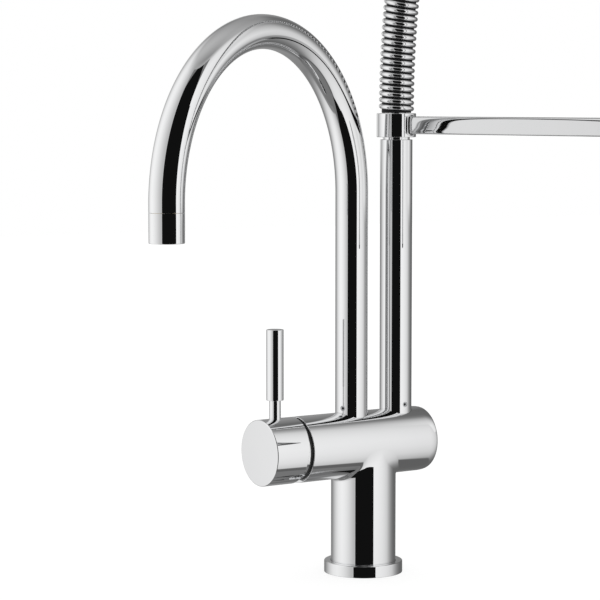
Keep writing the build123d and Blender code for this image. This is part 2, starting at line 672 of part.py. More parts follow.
with BuildPart() as lever_grip:
    ring(LEVER, GRIP_RADIUS, 0, GRIP_FOOT, GRIP_TOP)
    chamfer(lever_grip.edges().filter_by(GeomType.CIRCLE), GRIP_CHAMFER)
    bore(LEVER, LEVER_RADIUS, GRIP_FOOT, STEM_TOP)
lever_grip.part.label = "lever_grip"
export_step(lever_grip.part, "parts/lever_grip.step")

# Spout: a gooseneck tube on a journal that swivels in the barrel's front socket
GLIDE_RING_TOP = 115.0
GLIDE_RING_INNER = SOCKET_BORE + 0.1
GLIDE_RING_OUTER = SPOUT_SOCKET_RADIUS - 0.15
SPOUT_TUBE_FOOT = GLIDE_RING_TOP + RUNNING_FIT
JOURNAL_RADIUS = SOCKET_BORE - RUNNING_FIT
SPOUT_RING_STARTS = (102.6, 106.6)
RETAINER_GROOVE_LOW = 110.2
RETAINER_GROOVE_HIGH = 113.8
RETAINER_GROOVE_ROOT = 8.3
RETAINER_TIP = 8.8
RETAINER_END = 17.5
RETAINER_SOCKET = 1.5
RETAINER_SOCKET_DEPTH = 1.5

with BuildPart() as spout_glide_ring:
    ring(SPOUT_FOOT, GLIDE_RING_OUTER, GLIDE_RING_INNER, SOCKET_SHOULDER, GLIDE_RING_TOP)
spout_glide_ring.part.label = "spout_glide_ring"
export_step(spout_glide_ring.part, "parts/spout_glide_ring.step")

with BuildPart() as spout_tube:
    with BuildLine(SPOUT_PLANE) as gooseneck:
        Line((0, SPOUT_TUBE_FOOT), (0, SPOUT_STRAIGHT_TOP))
        ThreePointArc(
            (0, SPOUT_STRAIGHT_TOP),
            (SPOUT_ARCH_RADIUS, SPOUT_STRAIGHT_TOP + SPOUT_ARCH_RADIUS),
            (2 * SPOUT_ARCH_RADIUS, SPOUT_STRAIGHT_TOP),
        )
        Line((2 * SPOUT_ARCH_RADIUS, SPOUT_STRAIGHT_TOP), (2 * SPOUT_ARCH_RADIUS, SPOUT_END))
    with BuildSketch(Plane(origin=(SPOUT_X, 0, SPOUT_TUBE_FOOT))):
        Circle(TUBE_RADIUS)
        Circle(TUBE_BORE, mode=Mode.SUBTRACT)
    sweep(path=gooseneck.line)
    bore(SPOUT_GRUB, GRUB_RADIUS, TUBE_BORE - OVERCUT, TUBE_RADIUS + OVERCUT)
spout_tube.part.label = "spout_tube"
export_step(spout_tube.part, "parts/spout_tube.step")

with BuildPart() as spout_journal:
    ring(SPOUT_FOOT, JOURNAL_RADIUS, NIPPLE_BORE, NIPPLE_FOOT, SPOUT_TUBE_FOOT)
    ring(SPOUT_FOOT, TUBE_BORE, NIPPLE_BORE, SPOUT_TUBE_FOOT, NIPPLE_TOP)
    for ring_start in SPOUT_RING_STARTS:
        groove_end = ring_start + RING_WIDTH
        ring(SPOUT_FOOT, JOURNAL_RADIUS, TUBE_RING_ROOT, ring_start, groove_end, Mode.SUBTRACT)
    ring(
        SPOUT_FOOT,
        JOURNAL_RADIUS,
        RETAINER_GROOVE_ROOT,
        RETAINER_GROOVE_LOW,
        RETAINER_GROOVE_HIGH,
        Mode.SUBTRACT,
    )
    bore(SPOUT_GRUB, GRUB_RADIUS, GRUB_TIP, TUBE_RADIUS)
spout_journal.part.label = "spout_journal"
export_step(spout_journal.part, "parts/spout_journal.step")

with BuildPart() as spout_orings:
    for ring_start in SPOUT_RING_STARTS:
        ring_end = ring_start + RING_WIDTH
        ring(SPOUT_FOOT, JOURNAL_RADIUS, TUBE_RING_ROOT, ring_start, ring_end)
spout_orings.part.label = "spout_orings"
export_step(spout_orings.part, "parts/spout_orings.step")

with BuildPart() as spout_grub_screw:
    grub_screw(SPOUT_GRUB, GRUB_RADIUS, GRUB_TIP, GRUB_END, GRUB_SOCKET, GRUB_SOCKET_DEPTH)
spout_grub_screw.part.label = "spout_grub_screw"
export_step(spout_grub_screw.part, "parts/spout_grub_screw.step")

with BuildPart() as spout_retaining_screw:
    grub_screw(
        retainer_hole,
        RETAINER_RADIUS,
        RETAINER_TIP,
        RETAINER_END,
        RETAINER_SOCKET,
        RETAINER_SOCKET_DEPTH,
    )
spout_retaining_screw.part.label = "spout_retaining_screw"
export_step(spout_retaining_screw.part, "parts/spout_retaining_screw.step")

# Spout outlet: adapter, screwed shell and the aerator inside it
ADAPTER_BORE = 8.5
ADAPTER_TOP = SPOUT_STRAIGHT_TOP
ADAPTER_FOOT = 268.0
ADAPTER_THREAD = 10.2
SHELL_LIP = 8.8
SHELL_LIP_TOP = 258.6
SHELL_EDGE = 0.6
INSERT_RADIUS = 10.1
INSERT_TOP = 266.0
SCREEN_TOP = 266.5
AERATOR_SEAL_INNER = 8.6
AERATOR_HOLE = 0.75
AERATOR_HOLE_SPACING = 1.15
AERATOR_ROWS = 7
SCREEN_PITCH = 2.2
SCREEN_OPENING = 1.5
SCREEN_ROWS = 6

with BuildPart() as outlet_adapter:
    ring(OUTLET, TUBE_BORE, ADAPTER_BORE, SPOUT_END, ADAPTER_TOP)
    ring(OUTLET, ADAPTER_THREAD, ADAPTER_BORE, ADAPTER_FOOT, SPOUT_END)
outlet_adapter.part.label = "outlet_adapter"
export_step(outlet_adapter.part, "parts/outlet_adapter.step")

with BuildPart() as aerator_shell:
    ring(OUTLET, TUBE_RADIUS, SHELL_LIP, AERATOR_FOOT, AERATOR_TOP)
    fillet(aerator_shell.edges().group_by(Axis.Z)[0].sort_by(SortBy.RADIUS)[-1], SHELL_EDGE)
    bore(OUTLET, ADAPTER_THREAD, SHELL_LIP_TOP, AERATOR_TOP)
aerator_shell.part.label = "aerator_shell"
export_step(aerator_shell.part, "parts/aerator_shell.step")

with BuildPart() as aerator_insert:
    with BuildSketch(Plane(origin=(OUTLET_POINT.X, OUTLET_POINT.Y, SHELL_LIP_TOP))):
        Circle(INSERT_RADIUS)
        with HexLocations(AERATOR_HOLE_SPACING, AERATOR_ROWS, AERATOR_ROWS):
            Circle(AERATOR_HOLE, mode=Mode.SUBTRACT)
    extrude(amount=INSERT_TOP - SHELL_LIP_TOP)
aerator_insert.part.label = "aerator_insert"
export_step(aerator_insert.part, "parts/aerator_insert.step")

with BuildPart() as aerator_screen:
    with BuildSketch(Plane(origin=(OUTLET_POINT.X, OUTLET_POINT.Y, INSERT_TOP))):
        Circle(INSERT_RADIUS)
        with GridLocations(SCREEN_PITCH, SCREEN_PITCH, SCREEN_ROWS, SCREEN_ROWS):
            Rectangle(SCREEN_OPENING, SCREEN_OPENING, mode=Mode.SUBTRACT)
    extrude(amount=SCREEN_TOP - INSERT_TOP)
aerator_screen.part.label = "aerator_screen"
export_step(aerator_screen.part, "parts/aerator_screen.step")

with BuildPart() as aerator_seal:
    ring(OUTLET, INSERT_RADIUS, AERATOR_SEAL_INNER, SCREEN_TOP, ADAPTER_FOOT)
aerator_seal.part.label = "aerator_seal"
export_step(aerator_seal.part, "parts/aerator_seal.step")

# Riser head: the post on top of the spray riser that the arm's collar turns on
HEAD_FOOT = 303.0
NECK_OUTER = 10.0
POST_RADIUS = 9.0
POST_SHOULDER = 338.0
POST_THREAD = 7.0
POST_TOP = 346.0
COLLAR_BORE = 11.0
COLLAR_LIP_RADIUS = 7.3
COLLAR_LIP_FOOT = 338.3
NUT_RADIUS = 8.3
COLLAR_NUT_FOOT = 341.2
COLLAR_NUT_TOP = 345.2

HEAD_OUTLINE = [
    (HOSE_BORE, HEAD_FOOT),
    (TUBE_BORE, HEAD_FOOT),
    (TUBE_BORE, RISER_TOP),
    (NECK_OUTER, RISER_TOP),
    (NECK_OUTER, COLLAR_FOOT),
    (POST_RADIUS, COLLAR_FOOT),
    (POST_RADIUS, POST_SHOULDER),
    (POST_THREAD, POST_SHOULDER),
    (POST_THREAD, POST_TOP),
    (HOSE_BORE, POST_TOP),
]
COLLAR_OUTLINE = [
    (COLLAR_BORE, COLLAR_FOOT),
    (COLLAR_RADIUS, COLLAR_FOOT),
    (COLLAR_RADIUS, COLLAR_TOP),
    (COLLAR_LIP_RADIUS, COLLAR_TOP),
    (COLLAR_LIP_RADIUS, COLLAR_LIP_FOOT),
    (COLLAR_BORE, COLLAR_LIP_FOOT),
]

with BuildPart() as riser_head:
    turned(RISER, HEAD_OUTLINE)
riser_head.part.label = "riser_head"
export_step(riser_head.part, "parts/riser_head.step")

with BuildPart() as collar_nut:
    ring(RISER, NUT_RADIUS, POST_THREAD, COLLAR_NUT_FOOT, COLLAR_NUT_TOP)
collar_nut.part.label = "collar_nut"
export_step(collar_nut.part, "parts/collar_nut.step")

# Arm: collar, bush and the flat bar that carries the spray's dock
BAR_START = 11.8
TOUCHING = 0.001
SADDLE_WALL = 3.0
LINER_BORE = 14.3
LINER_WALL = 1.0
SADDLE_BORE = LINER_BORE + LINER_WALL
SADDLE_RADIUS = SADDLE_BORE + SADDLE_WALL
SADDLE_LOW = 322.0
SADDLE_HIGH = 342.0
LUG_LENGTH = 9.5
LUG_HALF_WIDTH = 5.0
LUG_LOW = 323.8
LUG_HIGH = 340.6
LUG_OVERLAP = 2.0
BAR_END = SPRAY_REACH - SADDLE_RADIUS
DOCK_SCREW_RADIUS = 1.5
DOCK_SCREW_SETBACK = 5.0
DOCK_SCREW_OUT = BAR_END - DOCK_SCREW_SETBACK
DOCK_SCREW_HEIGHTS = (328.6, 335.8)
BAR_MIDDLE = (ARM_LOW + ARM_HIGH) / 2
BAR_TALL = ARM_HIGH - ARM_LOW


def bar_section(start, end, mode=Mode.ADD):
    """The arm's flat bar between two distances from the riser's axis."""
    with BuildSketch(ARM_PLANE) as side_view:
        with Locations(((start + end) / 2, BAR_MIDDLE)):
            Rectangle(end - start, BAR_TALL)
    extrude(side_view.sketch, amount=ARM_THICKNESS / 2, both=True, mode=mode)


def dock_screw_holes():
    """Cross holes for the dock's screws."""
    for screw_height in DOCK_SCREW_HEIGHTS:
        screw_point = Vector(RISER_X, 0, screw_height) + ARM_OUT * DOCK_SCREW_OUT
        screw_axis = along(screw_point, ARM_PLANE.z_dir)
        bore(screw_axis, DOCK_SCREW_RADIUS, -2 * LUG_HALF_WIDTH, 2 * LUG_HALF_WIDTH)


def half_ring(outer, inner, low, high):
    """Half a ring about the spray's axis, on the side nearer to the riser."""
    inward = Plane(origin=SPRAY_POINT + Vector(0, 0, low), x_dir=ARM_OUT)
    with BuildSketch(inward) as top_view:
        Circle(outer)
        Circle(inner, mode=Mode.SUBTRACT)
        with Locations((outer, 0)):
            Rectangle(2 * outer, 3 * outer, mode=Mode.SUBTRACT)
    extrude(top_view.sketch, amount=high - low)


with BuildPart() as arm_collar:
    turned(RISER, COLLAR_OUTLINE)
    rims = arm_collar.edges().filter_by(GeomType.CIRCLE)
    chamfer(rims.filter_by(lambda edge: edge.radius > COLLAR_BORE), COLLAR_CHAMFER)
    bar_section(BAR_START, COLLAR_RADIUS, Mode.SUBTRACT)
arm_collar.part.label = "arm_collar"
export_step(arm_collar.part, "parts/arm_collar.step")

with BuildPart() as collar_bush:
    bush_bore = POST_RADIUS + RUNNING_FIT
    ring(RISER, COLLAR_BORE, bush_bore, COLLAR_FOOT + RUNNING_FIT, POST_SHOULDER)
collar_bush.part.label = "collar_bush"
export_step(collar_bush.part, "parts/collar_bush.step")


def on_collar(edge):
    """True for an edge where the bar meets the collar's round face."""
    middle = edge @ 0.5
    from_riser = math.hypot(middle.X - RISER_X, middle.Y)
    return abs(from_riser - COLLAR_RADIUS) < TOUCHING and COLLAR_FOOT < middle.Z < COLLAR_TOP


with BuildPart() as arm_bar:
    bar_section(BAR_START, BAR_END)
    fillet(arm_bar.edges().filter_by(Axis((0, 0, 0), ARM_OUT)), ARM_EDGE)
    ring(RISER, COLLAR_RADIUS, 0, COLLAR_FOOT, COLLAR_TOP)
    fillet(arm_bar.edges().filter_by(on_collar), ARM_ROOT_FILLET)
    bore(RISER, COLLAR_RADIUS, COLLAR_FOOT, COLLAR_TOP)
    bar_section(BAR_START, COLLAR_RADIUS)
    dock_screw_holes()
arm_bar.part.label = "arm_bar"
export_step(arm_bar.part, "parts/arm_bar.step")

with BuildPart() as dock_saddle:
    half_ring(SADDLE_RADIUS, SADDLE_BORE, SADDLE_LOW, SADDLE_HIGH)
    with BuildSketch(ARM_PLANE):
        with Locations((BAR_END + (LUG_OVERLAP - LUG_LENGTH) / 2, (LUG_LOW + LUG_HIGH) / 2)):
            Rectangle(LUG_LENGTH + LUG_OVERLAP, LUG_HIGH - LUG_LOW)
    extrude(amount=LUG_HALF_WIDTH, both=True)
    bore(SPRAY, SADDLE_BORE, SADDLE_LOW, SADDLE_HIGH)
    bar_section(BAR_START, BAR_END, Mode.SUBTRACT)
    dock_screw_holes()
dock_saddle.part.label = "dock_saddle"
export_step(dock_saddle.part, "parts/dock_saddle.step")

with BuildPart() as dock_liner:
    half_ring(SADDLE_BORE, LINER_BORE, SADDLE_LOW, SADDLE_HIGH)
dock_liner.part.label = "dock_liner"
export_step(dock_liner.part, "parts/dock_liner.step")

with BuildPart() as dock_screws:
    for screw_height in DOCK_SCREW_HEIGHTS:
        screw_point = Vector(RISER_X, 0, screw_height) + ARM_OUT * DOCK_SCREW_OUT
        screw_axis = along(screw_point, ARM_PLANE.z_dir)
        ring(screw_axis, DOCK_SCREW_RADIUS, 0, -LUG_HALF_WIDTH, LUG_HALF_WIDTH)
dock_screws.part.label = "dock_screws"
export_step(dock_screws.part, "parts/dock_screws.step")

# Hose tail: swivels on the post and crimps the hose
TAIL_FOOT = POST_TOP + FACE_GAP
TAIL_SHOULDER = 351.0
TAIL_RADIUS = 8.3
CRIMP_TOP = 358.0
CRIMP_BORE = HOSE_RADIUS + FACE_GAP

with BuildPart() as hose_tail:
    ring(RISER, TAIL_RADIUS, HOSE_BORE, TAIL_FOOT, TAIL_SHOULDER)
    ring(RISER, TAIL_RADIUS, CRIMP_BORE, TAIL_SHOULDER, CRIMP_TOP)
hose_tail.part.label = "hose_tail"
export_step(hose_tail.part, "parts/hose_tail.step")

# Hose and support spring: both follow the same bends from the collar to the spray
HOSE_END = 352.0


def swept_arcs(arcs, outer, inner, tail_end=None):
    """A round sleeve along the arcs, with a straight tail down to a height where one is given."""
    with BuildLine(ARM_PLANE) as route:
        for arc in arcs:
            ThreePointArc(*arc)
        if tail_end is not None:
            last_out, last_height = arcs[-1][-1]
            Line((last_out, last_height), (last_out, tail_end))
    start = route.line @ 0
    with BuildSketch(Plane(origin=start, z_dir=route.line % 0)) as section:
        Circle(outer)
        Circle(inner, mode=Mode.SUBTRACT)
    sweep(section.sketch, path=route.line)
    return sum(edge.length for edge in route.edges())


hose_foot = TAIL_SHOULDER + FACE_GAP
first_radius = RISING_BENDS[0][0]
hose_turn = math.degrees(math.asin((hose_foot - COLLAR_TOP) / first_radius))
hose_shift = first_radius * (1 - math.cos(math.radians(hose_turn)))
hose_bends = ((first_radius, hose_turn, RISING_BENDS[0][2]),) + RISING_BENDS[1:] + FALLING_BENDS
HOSE_ARCS = bend_points((hose_shift, hose_foot), hose_bends)

with BuildPart() as support_spring:
    spring_length = swept_arcs(SPRING_ARCS, SPRING_RADIUS, SPRING_RADIUS - SPRING_WIRE)
support_spring.part.label = "support_spring"
export_step(support_spring.part, "parts/support_spring.step")

with BuildPart() as spray_hose:
    hose_length = swept_arcs(HOSE_ARCS, HOSE_RADIUS, HOSE_BORE, HOSE_END)
spray_hose.part.label = "spray_hose"
export_step(spray_hose.part, "parts/spray_hose.step")
print("spring path length", spring_length, "hose length", hose_length)
hose_section = math.pi * (HOSE_RADIUS**2 - HOSE_BORE**2)
print("hose volume over section times length", spray_hose.part.volume / (hose_section * hose_length))

# Spray head: coupling, handle shell, valve body, nozzle plate and face ring
COUPLING_TOP = SPRING_END - FACE_GAP
HANDLE_TOP = 345.0
HANDLE_RADIUS = 14.0
HANDLE_BORE = 11.8
HANDLE_FLARE_TOP = 262.0
HANDLE_FLARE_FOOT = 240.0
HANDLE_FOOT = 232.0
FACE_RADIUS = 16.5
FACE_BORE = 14.8
FACE_FOOT = 228.5
PLATE_FOOT = 229.5
SPIGOT_FOOT = 337.0
INLET_TUBE_RADIUS = 5.0
TUBE_CLEARANCE = 5.2
INLET_TUBE_TOP = 350.0
COUPLING_STEP = 350.0
VALVE_TOP = 296.0
VALVE_FOOT = 274.0
STEM_HEIGHT = 285.0
TUBE_WATERWAY = 3.5
OUTLET_TUBE_OUT = -4.0
OUTLET_TUBE_FOOT = 236.0
VALVE_CHAMBER = 4.6
VALVE_CHAMBER_BACK = -10.0
VALVE_SEAT = 1.2
VALVE_THROAT = 3.2
VALVE_THROAT_END = 9.5
STEM_RADIUS = 2.0
STEM_HEAD_RADIUS = 4.2
STEM_HEAD_BACK = -1.0
STEM_HEAD_FRONT = 1.0
STEM_END = 17.8
STEM_WINDOW = 2.6
FEED_WAY_RADIUS = 2.5
FEED_WAY_TOP = 294.0
VALVE_COIL_RADIUS = 3.4
VALVE_COIL_PITCH = 1.7
HINGE_OUT = 17.0
HINGE_HEIGHT = 330.0
HINGE_PIN_RADIUS = 1.25
KNUCKLE_RADIUS = 2.4
TRIGGER_HALF_WIDTH = 6.0
EAR_INNER = TRIGGER_HALF_WIDTH + FACE_GAP
EAR_THICKNESS = 2.5
EAR_OUTER = EAR_INNER + EAR_THICKNESS
EAR_MIDDLE_OUT = 15.0
EAR_LENGTH = 9.0
EAR_HEIGHT = 8.0
NOZZLE_RADIUS = 0.6
NOZZLE_RINGS = ((4.0, 6), (8.0, 12), (12.0, 18))
FACE_EDGE = 1.0

COUPLING_OUTLINE = [
    (TUBE_CLEARANCE, SPIGOT_FOOT),
    (HANDLE_BORE, SPIGOT_FOOT),
    (HANDLE_BORE, HANDLE_TOP),
    (HANDLE_RADIUS, HANDLE_TOP),
    (HANDLE_RADIUS, COUPLING_STEP),
    (SPRING_RADIUS, COUPLING_TOP),
    (HOSE_RADIUS + FACE_GAP, COUPLING_TOP),
    (HOSE_RADIUS + FACE_GAP, HOSE_END - FACE_GAP),
    (TUBE_CLEARANCE, HOSE_END - FACE_GAP),
]
HANDLE_OUTLINE = [
    (HANDLE_BORE, HANDLE_TOP),
    (HANDLE_RADIUS, HANDLE_TOP),
    (HANDLE_RADIUS, HANDLE_FLARE_TOP),
    (FACE_RADIUS, HANDLE_FLARE_FOOT),
    (FACE_RADIUS, HANDLE_FOOT),
    (FACE_BORE, HANDLE_FOOT),
    (FACE_BORE, HANDLE_FLARE_FOOT),
    (HANDLE_BORE, HANDLE_FLARE_TOP),
]
SPRAY_SIDE = Plane(
    origin=SPRAY_POINT, x_dir=ARM_OUT, z_dir=ARM_OUT.cross(Vector(0, 0, 1))
)
STEM_AXIS = along(SPRAY_POINT + Vector(0, 0, STEM_HEIGHT), ARM_OUT)
HINGE_POINT = SPRAY_POINT + ARM_OUT * HINGE_OUT + Vector(0, 0, HINGE_HEIGHT)
HINGE_AXIS = along(HINGE_POINT, SPRAY_SIDE.z_dir)


def spray_way(out):
    """Upright axis at a distance outward from the spray's own axis."""
    return along(SPRAY_POINT + ARM_OUT * out, UP)


with BuildPart() as spray_coupling:
    turned(SPRAY, COUPLING_OUTLINE)
spray_coupling.part.label = "spray_coupling"
export_step(spray_coupling.part, "parts/spray_coupling.step")

with BuildPart() as spray_handle:
    turned(SPRAY, HANDLE_OUTLINE)
    for ear_side in (1, -1):
        ear_start = EAR_INNER if ear_side > 0 else -EAR_OUTER
        with BuildSketch(SPRAY_SIDE.offset(ear_start)):
            with Locations((EAR_MIDDLE_OUT, HINGE_HEIGHT)):
                Rectangle(EAR_LENGTH, EAR_HEIGHT)
        extrude(amount=EAR_THICKNESS)
    bore(SPRAY, HANDLE_BORE, HANDLE_FLARE_TOP, HANDLE_TOP)
    bore(STEM_AXIS, STEM_WINDOW, HANDLE_BORE - OVERCUT, HANDLE_RADIUS + OVERCUT)
    bore(HINGE_AXIS, HINGE_PIN_RADIUS, -EAR_OUTER - OVERCUT, EAR_OUTER + OVERCUT)
spray_handle.part.label = "spray_handle"
export_step(spray_handle.part, "parts/spray_handle.step")

with BuildPart() as spray_valve_body:
    ring(SPRAY, HANDLE_BORE, 0, VALVE_FOOT, VALVE_TOP)
    ring(SPRAY, INLET_TUBE_RADIUS, 0, VALVE_TOP, INLET_TUBE_TOP)
    ring(spray_way(OUTLET_TUBE_OUT), INLET_TUBE_RADIUS, 0, OUTLET_TUBE_FOOT, VALVE_FOOT)
    bore(SPRAY, TUBE_WATERWAY, STEM_HEIGHT + VALVE_CHAMBER, INLET_TUBE_TOP)
    bore(spray_way(VALVE_CHAMBER), FEED_WAY_RADIUS, STEM_HEIGHT, FEED_WAY_TOP)
    bore(spray_way(OUTLET_TUBE_OUT), TUBE_WATERWAY, OUTLET_TUBE_FOOT, STEM_HEIGHT)
    bore(STEM_AXIS, VALVE_CHAMBER, VALVE_CHAMBER_BACK, VALVE_SEAT)
    bore(STEM_AXIS, VALVE_THROAT, VALVE_SEAT - OVERCUT, VALVE_THROAT_END)
    bore(STEM_AXIS, STEM_RADIUS + RUNNING_FIT, VALVE_THROAT_END - OVERCUT, HANDLE_BORE + OVERCUT)
spray_valve_body.part.label = "spray_valve_body"
export_step(spray_valve_body.part, "parts/spray_valve_body.step")

with BuildPart() as valve_stem:
    ring(STEM_AXIS, STEM_RADIUS, 0, STEM_HEAD_BACK, STEM_END)
    ring(STEM_AXIS, STEM_HEAD_RADIUS, 0, STEM_HEAD_BACK, STEM_HEAD_FRONT)
valve_stem.part.label = "valve_stem"
export_step(valve_stem.part, "parts/valve_stem.step")

with BuildPart() as valve_spring:
    coil_start = VALVE_CHAMBER_BACK + COIL_WIRE_RADIUS + COIL_END_GAP
    coil_end = STEM_HEAD_BACK - COIL_WIRE_RADIUS - COIL_END_GAP
    coil(STEM_AXIS, VALVE_COIL_RADIUS, COIL_WIRE_RADIUS, VALVE_COIL_PITCH, coil_start, coil_end)
valve_spring.part.label = "valve_spring"
export_step(valve_spring.part, "parts/valve_spring.step")

TRIGGER_OUTLINE = [
    (15.4, 327.0),
    (19.6, 262.0),
    (22.0, 262.0),
    (18.9, 331.5),
    (16.0, 331.5),
]

with BuildPart() as spray_trigger:
    with BuildSketch(SPRAY_SIDE):
        with BuildLine():
            Polyline(*TRIGGER_OUTLINE, close=True)
        make_face()
        with Locations((HINGE_OUT, HINGE_HEIGHT)):
            Circle(KNUCKLE_RADIUS)
    extrude(amount=TRIGGER_HALF_WIDTH, both=True)
    bore(HINGE_AXIS, HINGE_PIN_RADIUS + RUNNING_FIT, -EAR_OUTER, EAR_OUTER)
spray_trigger.part.label = "spray_trigger"
export_step(spray_trigger.part, "parts/spray_trigger.step")

with BuildPart() as trigger_pin:
    ring(HINGE_AXIS, HINGE_PIN_RADIUS, 0, -EAR_OUTER, EAR_OUTER)
trigger_pin.part.label = "trigger_pin"
export_step(trigger_pin.part, "parts/trigger_pin.step")

with BuildPart() as spray_nozzle_plate:
    with BuildSketch(Plane(origin=SPRAY_POINT + Vector(0, 0, PLATE_FOOT))):
        Circle(FACE_BORE)
        for nozzle_circle, nozzle_count in NOZZLE_RINGS:
            with PolarLocations(nozzle_circle, nozzle_count):
                Circle(NOZZLE_RADIUS, mode=Mode.SUBTRACT)
    extrude(amount=HANDLE_FOOT - PLATE_FOOT)
spray_nozzle_plate.part.label = "spray_nozzle_plate"
export_step(spray_nozzle_plate.part, "parts/spray_nozzle_plate.step")

with BuildPart() as spray_face_ring:
    ring(SPRAY, FACE_RADIUS, FACE_BORE, FACE_FOOT, HANDLE_FOOT)
    fillet(spray_face_ring.edges().group_by(Axis.Z)[0].sort_by(SortBy.RADIUS)[-1], FACE_EDGE)
spray_face_ring.part.label = "spray_face_ring"
export_step(spray_face_ring.part, "parts/spray_face_ring.step")
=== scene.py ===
import json
import math

import bpy
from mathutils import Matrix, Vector

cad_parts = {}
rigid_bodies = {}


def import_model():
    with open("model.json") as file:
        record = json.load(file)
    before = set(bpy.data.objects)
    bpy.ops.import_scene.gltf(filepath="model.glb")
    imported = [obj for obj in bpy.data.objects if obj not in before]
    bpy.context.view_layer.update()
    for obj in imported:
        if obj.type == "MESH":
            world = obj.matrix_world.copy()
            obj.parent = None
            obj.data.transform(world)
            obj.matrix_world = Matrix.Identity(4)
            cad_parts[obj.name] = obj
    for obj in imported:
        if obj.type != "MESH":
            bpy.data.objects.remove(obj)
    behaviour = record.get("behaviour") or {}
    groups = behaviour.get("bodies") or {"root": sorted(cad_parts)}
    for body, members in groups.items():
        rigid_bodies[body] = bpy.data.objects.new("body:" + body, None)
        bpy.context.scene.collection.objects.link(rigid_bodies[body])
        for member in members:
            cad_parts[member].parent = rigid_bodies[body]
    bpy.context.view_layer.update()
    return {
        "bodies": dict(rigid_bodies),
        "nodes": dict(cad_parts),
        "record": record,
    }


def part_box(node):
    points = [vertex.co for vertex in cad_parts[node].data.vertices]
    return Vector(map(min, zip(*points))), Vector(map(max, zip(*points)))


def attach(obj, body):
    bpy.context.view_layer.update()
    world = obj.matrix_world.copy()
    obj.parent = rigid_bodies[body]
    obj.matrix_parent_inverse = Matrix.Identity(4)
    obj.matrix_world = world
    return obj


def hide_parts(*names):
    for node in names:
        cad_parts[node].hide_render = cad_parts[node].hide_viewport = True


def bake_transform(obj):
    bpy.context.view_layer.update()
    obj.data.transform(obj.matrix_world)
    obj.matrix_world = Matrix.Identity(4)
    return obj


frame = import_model()

# Kitchen faucet: chrome body, gooseneck spout, and a spray on a sprung hose held by a swivel arm.
# Lengths are in metres, in the CAD frame: origin on the deck at the column's axis, +Z up.

MM = 0.001
UP = Vector((0, 0, 1))
TAU = 2 * math.pi


# ---------------------------------------------------------------- places read from the frame

def middle_of(node):
    low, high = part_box(node)
    return (low + high) / 2


def body_of(node):
    holder = frame["nodes"][node].parent
    return next(name for name, body in frame["bodies"].items() if body == holder)


def level(point, height):
    """The same place seen from above, at another height."""
    return Vector((point.x, point.y, height))


RISER_AXIS = level(middle_of("riser_tube"), 0)
SPRAY_AXIS = level(middle_of("spray_coupling"), 0)
OUTLET_AXIS = level(middle_of("aerator_shell"), 0)
JOURNAL_AXIS = level(middle_of("spout_journal"), 0)
BARREL_HEIGHT = middle_of("handle_cap").z
LEVER_AXIS = level(middle_of("lever_grip"), 0)

ARM_REACH = (SPRAY_AXIS - RISER_AXIS).length
ARM_OUT = (SPRAY_AXIS - RISER_AXIS).normalized()
ARM_SIDE = ARM_OUT.cross(UP)
SPOUT_OUT = (OUTLET_AXIS - JOURNAL_AXIS).normalized()
SPOUT_SIDE = SPOUT_OUT.cross(UP)


# ---------------------------------------------------------------- mesh tools

SAME_PLACE = 1e-7
TURN_SEGMENTS = 180
LONGEST_ROUNDING = 0.48  # the share of an edge that one corner's rounding may take


